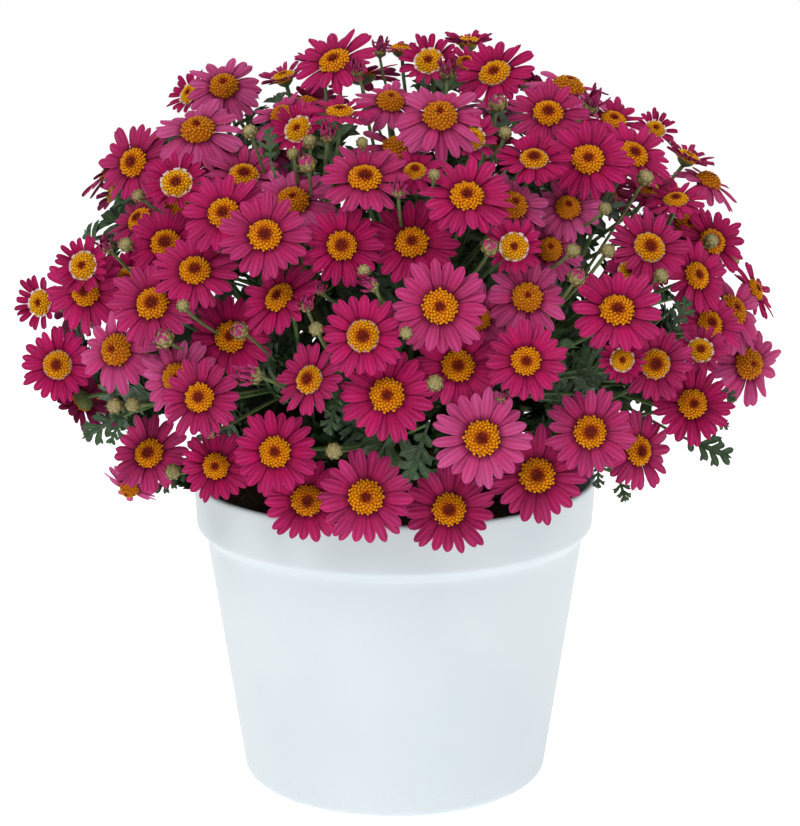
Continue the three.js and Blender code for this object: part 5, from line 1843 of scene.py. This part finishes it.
        # Heights along each floret for the floret finish's painted shade: low at the foot, high at the top.
        growth[:, :, 0] = [0.2] * 4 + [1.0] * 4 + [0.0, 0.8]
        growth[:, :, 1] = share.reshape(-1, 1)
        skin.turned(
            foot.reshape(-1, 3), axis.reshape(-1, 3), np.stack([0 * high, high], -1).reshape(-1, 2),
            np.stack([0.7 * wide, wide * (0.72 + 0.25 * ripe)], -1).reshape(-1, 2, 1),
            np.stack([-0.2 * wide, high + wide * (0.55 - ripe)], -1).reshape(-1, 2), 4,
            kinds(draws(number, 97), habit.lemon, heart[:, None]), start=6 * draws(number, 96).ravel(), growth=growth,
        )

    @staticmethod
    def add_cups(skin: Skin, heads: list[Head]) -> None:
        """Adds the green cup under each open head: a turned shape with a scaly edge.

        Args:
            skin: takes the cups.
            heads: the open heads.
        """
        place, face, radius, index = listed(heads)
        scaly = 1 + np.array([0.0, 0.02, 0.05, 0.07, 0.05])[:, None] * np.cos(math.pi * np.arange(16))
        radii = radius[:, None, None] * np.array([0.055, 0.17, 0.27, 0.32, 0.30])[:, None] * scaly
        radii[:, 0] = 1.3
        kind = kinds(draws(index, 98), 0.25, 0.35)
        skin.turned(place, face, (-5.0, -4.2, -3.0, -1.4, -0.2), radii, (-5.2, 0.1), 16, kind, 1)

    def add_buds(self, greens: Skin, petals: Skin, heads: list[Head]) -> None:
        """Adds buds: a ball under rows of scales that hug it, and for opening ones pink petals on top.

        Args:
            greens: takes the balls and scales.
            petals: takes the petals.
            heads: heads whose age is bud, pink or tuft.
        """
        middle, face, whole, index = listed(heads)
        tuft = np.array([head.age == "tuft" for head in heads])
        closed = np.array([head.age == "bud" for head in heads])
        radius = whole * np.where(tuft, 0.5, 0.94)
        place = middle - face * (np.where(tuft, 0.35, 0.0) * radius)[:, None]
        wide = radius[:, None]
        level = np.array([-0.92, -0.6, -0.1, 0.42, 0.8])
        cream = 0.35 + 0.65 * draws(index, 100) ** 2
        greens.turned(
            place, face, wide * level, (wide * 0.9 * np.sqrt(1 - level * level))[..., None],
            wide * np.array([-0.98, 0.92]), 10, kinds(draws(index, 99), 1.0, cream), 1,
            growth=tube_growth(5, 10) * 0.5 + 0.3,
        )
        for row, (lift, count) in enumerate(((-1.05, 7), (-0.45, 8), (0.12, 7), (0.6, 5))):
            keep = closed | (row < 2)
            if not keep.any():
                continue
            k = np.arange(count)
            number = index[keep, None] * 32 + row * 8 + k
            out = round_ways(face[keep], (k + 0.5 * row + 0.2 * draws(number, 101)) * 2 * math.pi / count)
            up, r = face[keep, None], wide[keep]
            radial = out * math.cos(lift) + up * math.sin(lift)
            size = r * (0.86 if row < 3 else 0.62) * (0.9 + 0.2 * draws(number, 102))
            scales = Blades(
                place[keep, None] + radial * (r * 0.93)[..., None], up * math.cos(lift) - out * math.sin(lift),
                radial, size, r * math.cos(lift) * 2.9 / count, 0.16, -(size / r) * 0.98, -0.3, 0.0, 0.5,
            )
            greens.blades(scales, SCALE_CUT, kinds(draws(number, 103), 0.85, cream[keep, None]), 1)
        opening = np.nonzero(~closed)[0]
        if len(opening):
            self.add_tuft_petals(petals, [heads[n] for n in opening], place[opening], wide[opening])

    @staticmethod
    def add_tuft_petals(skin: Skin, heads: list[Head], place: Array, radius: Array) -> None:
        """Adds the rolled petals of opening heads: they rise from the cup and curl inwards.

        Args:
            skin: the skin that takes them.
            heads: the heads.
            place: middles of their cups.
            radius: radii of their cups, as one column.
        """
        k = np.arange(17)
        _, face, whole, index = (values[:, None] for values in listed(heads))
        tuft = np.array([[head.age == "tuft"] for head in heads])
        number, inner = index * 64 + k, (k % 3 == 2) * 1.0
        out = round_ways(face[:, 0], (k + draws(number, 104)) * 2 * math.pi / len(k))
        lean = np.where(tuft, 0.62, 0.12) * (0.55 + 0.9 * draws(number, 105)) * (1 - 0.55 * inner)
        petals = Blades(
            place[:, None] + out * (radius * (0.72 - 0.3 * inner))[..., None] + face * (0.32 * radius)[..., None],
            swing(face, out, lean), swing(-out, face, lean),
            np.where(tuft, 1.05, 0.8) * whole * (0.78 + 0.4 * draws(number, 106)),
            np.where(tuft, 0.11, 0.17) * whole, 0.0, np.where(tuft, 0.75, 1.15) * (0.5 + draws(number, 107)),
            0.75, 1.2 * (draws(number, 108) - 0.5), 0.55, 0.08,
        )
        skin.blades(petals, PETAL_CUT, kinds(draws(number, 110), 0.15 + 0.6 * draws(number, 109), 0.2))

    def stalk_lines(self, spray: int) -> Array:
        """The bent lines of all stalks of a spray, from head to core.

        Args:
            spray: number of the spray.

        Returns:
            (stalks, rings, 3).
        """
        own = np.nonzero(self.growth.sprays == spray)[0]
        paths = self.growth.paths[own].copy()
        for n, i in enumerate(own):
            head = self.growth.heads[i]
            paths[n, 0] = head.place - head.face * (head.radius * 0.5 if head.small else 4.4)
        core = np.broadcast_to(self.growth.cores[spray], (len(own), 1, 3))
        return smooth_paths(np.concatenate([paths, core], 1), self.stalk_rings)

    def add_stalks(self, skin: Skin, spray: int) -> None:
        """Adds the stalks of a spray, the knot at its core and its shoot.

        Args:
            skin: the skin that takes them.
            spray: number of the spray.
        """
        own = np.nonzero(self.growth.sprays == spray)[0]
        small = np.array([self.growth.heads[i].small for i in own])
        share = np.linspace(0, 1, self.stalk_rings)
        radius = np.where(small, 0.85, 1.15)[:, None] * (1.05 - 0.2 * np.sin(math.pi * share) + 0.25 * share)
        kind = kinds(draws(own, 111), np.where(small, 0.15, 0.0), 0.0)
        skin.rods(self.stalk_lines(spray), radius, self.stalk_sides, kind, 1)
        core, kind = self.growth.cores[spray], kinds(draw(spray, 112), 0.35, 0.0)
        way = unit(core - HUB)
        path = HUB + way * np.linspace(CROWN.branch_reach - 0.6, np.linalg.norm(core - HUB), 7)[:, None]
        skin.rods(path[None], CROWN.shoot_radius * np.linspace(0.98, 0.85, 7)[None], 8, kind, 1)
        knot = 3.2
        radii = np.array([[[0.7], [1.0], [0.7]]]) * knot
        skin.turned(core[None], way[None], np.array([-0.7, 0.0, 0.7]) * knot, radii, (-knot, knot), 8, kind, 1)

    def place_more_leaves(self) -> list[Leaf]:
        """Places further leaves along all stalks, and larger ones round each shoot.

        Returns:
            The leaves.
        """
        leaves = []
        rings = np.linspace(0, 1, self.stalk_rings)[:, None]
        for spray, core in enumerate(self.growth.cores):
            number = spray * self.leaf_tries + np.arange(self.leaf_tries)
            most = self.low_leaves_kept if core[2] < self.low_core else self.leaves_kept
            leaves += self.try_leaves(spray, self.stalk_lines(spray), number, most, (0.55, 0.95), (34, 22))
            shoot = core + (HUB + unit(core - HUB) * CROWN.branch_reach * 0.6 - core) * rings
            number = 8192 + spray * self.inner_tries + np.arange(self.inner_tries)
            leaves += self.try_leaves(spray, shoot[None], number, self.inner_leaves, (0.7, 0.9), (46, 26))
        return leaves

    def try_leaves(
        self, spray: int, lines: Array, number: Array, most: int, leans: tuple, lengths: tuple
    ) -> list[Leaf]:
        """Places leaves on some lines by seeded tries.

        Each stands on a line at a drawn share of its length and leans away from it, and is kept only
        where it stays clear of every head, of the pot and inside the crown.

        Args:
            spray: number of the spray.
            lines: (lines, rings, 3), from the outer end inwards.
            number: the numbers of the draws, one for each try.
            most: how many leaves are kept at most.
            leans: least lean in radians and what the draw adds.
            lengths: least length and what the draw adds.

        Returns:
            The leaves.
        """
        rows = np.arange(len(number))
        line = lines[(draws(number, 113) * len(lines)).astype(int)]
        at = 2 + (draws(number, 114) * (self.stalk_rings - 4)).astype(int)
        foot = line[rows, at]
        along = unit(foot - line[rows, at + 1])
        outward = unit(domed(foot) + np.array([0.0, 0.0, 0.05]))
        away = swing(*disc_frame(along), 2 * math.pi * draws(number, 115))
        way = unit(swing(along, away, leans[0] + leans[1] * draws(number, 116)) + outward * 0.12)
        face = np.cross(unit(np.cross(way, outward)), way)
        length = lengths[0] + lengths[1] * draws(number, 117)
        discs = Discs.join([
            Discs(foot + way * (length * a)[:, None], face, length * r, np.full(len(length), 1.5))
            for a, r in ((0.48, 0.29), (0.76, 0.27), (0.96, 0.12))
        ])
        clear = self.clear_of_heads(discs).reshape(3, -1).all(0)
        inside = np.linalg.norm(domed(foot + way * length[:, None]), axis=1) < 1.0
        leaves = []
        for n in np.nonzero(clear & inside)[0]:
            leaf = Leaf(foot[n], way[n], face[n], float(length[n]), spray, False, False)
            if len(leaves) < most and all(pot_clear(leaf.discs().pick(np.array([m]))) for m in range(3)):
                leaves.append(leaf)
        return leaves

    def clear_of_heads(self, discs: Discs) -> Array:
        """Whether each disc keeps clear of every head; only near pairs are worked out.

        Args:
            discs: the discs.

        Returns:
            True where a disc is clear.
        """
        heads = self.growth.discs
        apart = np.linalg.norm(discs.place[:, None] - heads.place[None], axis=2)
        a, b = np.nonzero(apart < discs.radius[:, None] + heads.radius[None] + 8)
        out = np.ones(len(discs.radius), bool)
        np.logical_and.at(out, a, discs_clear(discs.pick(a), heads.pick(b)))
        return out

    def add_leaves(self, skin: Skin, leaves: list[Leaf], first: int) -> None:
        """Adds cut leaves: a narrow rib blade, pairs of lobes that stand on it, and teeth on the lobes.

        Lobe k stands on the rib's middle line at its own share and leans away from it in the plane of
        the leaf; a tooth stands on a lobe in the same way.

        Args:
            skin: the skin that takes them.
            leaves: the leaves.
            first: number of the first, for the draws.
        """
        n, habit = len(leaves), self.leaf
        number = first + np.arange(n)
        rows = [(leaf.foot, leaf.way, leaf.face, leaf.length, leaf.seen) for leaf in leaves]
        foot, way, face, length, seen_here = (np.array(values) for values in zip(*rows))
        turn = np.where(seen_here, -0.25, draws(number, 118) - 0.75)
        rib = Blades(
            foot - way * 1.5, way, face, length + 1.5, length * habit.rib_width, -turn * 0.45, turn,
            0.5, 0.4 * (draws(number, 119) - 0.5), habit.thickness,
        )
        kind = kinds(draws(number, 121), np.clip(draws(number, 120) * 1.3 - 0.3, 0, 1), 0.0)
        skin.blades(rib, RIB_CUT, kind)

        place, ahead, up = (values[:, :, None] for values in rib.frame(np.broadcast_to(habit.stands, (n, 4))))
        sides = np.cross(face, way)[:, None, None] * np.array([[1.0], [-1.0]])
        piece = number[:, None, None] * 8 + np.arange(8).reshape(4, 2)
        lean = np.array(habit.leans)[:, None] + 0.24 * (draws(piece, 122) - 0.5)
        long = length[:, None, None]
        lobes = Blades(
            place, unit(swing(ahead, sides, lean)), up,
            long * np.array(habit.lengths)[:, None] * (0.85 + 0.3 * draws(piece, 123)), long * habit.half_width,
            0.5 * (draws(piece, 124) - 0.35), -0.9 * draws(piece, 125), 0.45, 0.0, habit.thickness,
        )
        lobe_kind = np.repeat(kind, 8, 0)
        skin.blades(lobes, LOBE_CUT, lobe_kind)

        middle = np.tile(np.isin(np.arange(8) // 2, (1, 2)), n)
        place, ahead, up = (values[middle, 0] for values in lobes.frame(np.full((n * 8, 1), habit.tooth_stand)))
        outer = (np.cross(lobes.normal, lobes.way) * np.tile([1.0, -1.0], 4 * n)[:, None])[middle]
        long = np.repeat(length, 8)[middle]
        teeth = Blades(
            place, unit(swing(ahead, outer, np.full(1, habit.tooth_lean))), up, long * habit.tooth_length,
            long * habit.tooth_width, 0.0, -0.4, 0.4, 0.0, habit.thickness,
        )
        skin.blades(teeth, SCALE_CUT, lobe_kind[middle])

        bare = [i for i, leaf in enumerate(leaves) if leaf.rooted]
        if bare:
            core = self.growth.cores[[leaves[i].spray for i in bare]][:, None]
            path = core + (foot[bare, None] - core) * np.linspace(0, 1, 5)[:, None]
            skin.rods(path, np.tile([1.1, 0.95, 0.9, 0.85, 0.8], (len(bare), 1)), 6, kind[bare] * [1, 0, 0], 1)

    def build(self, spray: int) -> list[bpy.types.Object]:
        """Builds one spray as three pieces: petals, discs, and everything green.

        Args:
            spray: number of the spray, from 0.

        Returns:
            The finished objects.
        """
        tag = f"{spray + 1:02d}"
        petals = Skin(f"petals_{tag}", self.petal_look)
        hearts = Skin(f"hearts_{tag}", self.floret_look)
        greens = Skin(f"greens_{tag}", *self.green_looks)
        own = [head for head in self.growth.heads if head.spray == spray]
        for age in PETALS:
            group = [head for head in own if head.age == age.value]
            if group:
                self.add_petals(petals, group, age)
                self.add_discs(hearts, group, age)
                self.add_cups(greens, group)
        small = [head for head in own if head.small]
        if small:
            self.add_buds(greens, petals, small)
        self.add_stalks(greens, spray)
        leaves = [leaf for leaf in self.growth.leaves + self.more_leaves if leaf.spray == spray]
        if leaves:
            self.add_leaves(greens, leaves, spray * 128)
        made = [skin.build() for skin in (petals, hearts, greens) if skin.parts]
        for piece in made:
            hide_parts(f"spray_{tag}")
        return made


@dataclass
class Studio:
    """Camera, pale floor and soft light."""

    frame_long_side: float = 826.0
    sensor: float = 36.0
    floor_size: float = 60.0
    floor_tone: tuple = screen(244, 244, 244)
    floor_glow: float = 0.76
    air_strength: float = 0.34

    def light(self, name: str, place: tuple, target: tuple, power: float, size: float) -> None:
        """A soft square lamp that faces a target.

        Args:
            name: name of the lamp.
            place: where it hangs, in metres.
            target: what it faces.
            power: in watts.
            size: side of the lamp.
        """
        data = bpy.data.lights.new(name, "AREA")
        data.energy = power
        data.size = size
        lamp = stand(name, data)
        lamp.location = place
        x, y, z = np.array(target) - np.array(place)
        lamp.rotation_euler = (math.atan2(math.hypot(x, y), -z), 0.0, math.atan2(y, x) - math.pi / 2)

    def build(self) -> None:
        """Sets up the stage."""
        camera = bpy.data.cameras.new("camera")
        camera.sensor_width = self.sensor
        camera.lens = VIEW.focal / self.frame_long_side * self.sensor
        camera.clip_end = 200.0
        eye = stand("camera", camera)
        eye.location = EYE * MM
        eye.rotation_euler = (math.pi / 2 - VIEW.pitch, 0.0, 0.0)
        bpy.context.scene.camera = eye
        half = self.floor_size / 2
        mesh = bpy.data.meshes.new("floor")
        mesh.from_pydata([(-half, -half, 0), (half, -half, 0), (half, half, 0), (-half, half, 0)], [], [(0, 1, 2, 3)])
        floor = stand("floor", mesh)
        material = bpy.data.materials.new("floor_pale")
        material.use_nodes = True
        tones = {"Base_Color": self.floor_tone, "Emission_Color": self.floor_tone}
        surface = material.node_tree.nodes["Principled BSDF"]
        Wiring(material.node_tree).join(surface, Roughness=0.9, Emission_Strength=self.floor_glow, **tones)
        mesh.materials.append(material)
        world = bpy.data.worlds.new("studio_air")
        world.use_nodes = True
        air = world.node_tree.nodes["Background"]
        Wiring(world.node_tree).join(air, Color=(1.0, 1.0, 1.0, 1.0), Strength=self.air_strength)
        bpy.context.scene.world = world
        self.light("key_lamp", (-1.1, -1.5, 1.8), (0, 0, 0.25), 24.0, 1.0)
        self.light("fill_lamp", (1.6, -1.0, 1.1), (0, 0, 0.2), 9.0, 1.2)
        self.light("top_lamp", (0.0, 0.2, 2.2), (0, 0, 0.3), 10.0, 1.4)
        bpy.context.scene.view_settings.view_transform = "Standard"


def main() -> None:
    """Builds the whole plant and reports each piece."""
    logging.basicConfig(level=logging.INFO, format="%(name)s: %(message)s")
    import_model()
    effects = Effects()
    growth = Growth()
    LOG.info("%d heads, %d leaves, %d sprays", len(growth.heads), len(growth.leaves), len(growth.cores))
    made = [FlowerPot().build(effects), Compost().build(effects), WoodyStem().build(growth, effects)]
    sprays = Sprays(growth, effects)
    for spray in range(CROWN.spray_count):
        made.extend(sprays.build(spray))
    total = 0
    for piece in made:
        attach(piece, "root")
        faces = sum(len(p.vertices) - 2 for p in piece.data.polygons)
        total += faces
        LOG.info("%s: %d triangles", piece.name, faces)
    LOG.info("%d further leaves, %d triangles in all", len(sprays.more_leaves), total)
    Studio().build()
    bpy.context.view_layer.update()


if __name__ == "__main__":
    main()
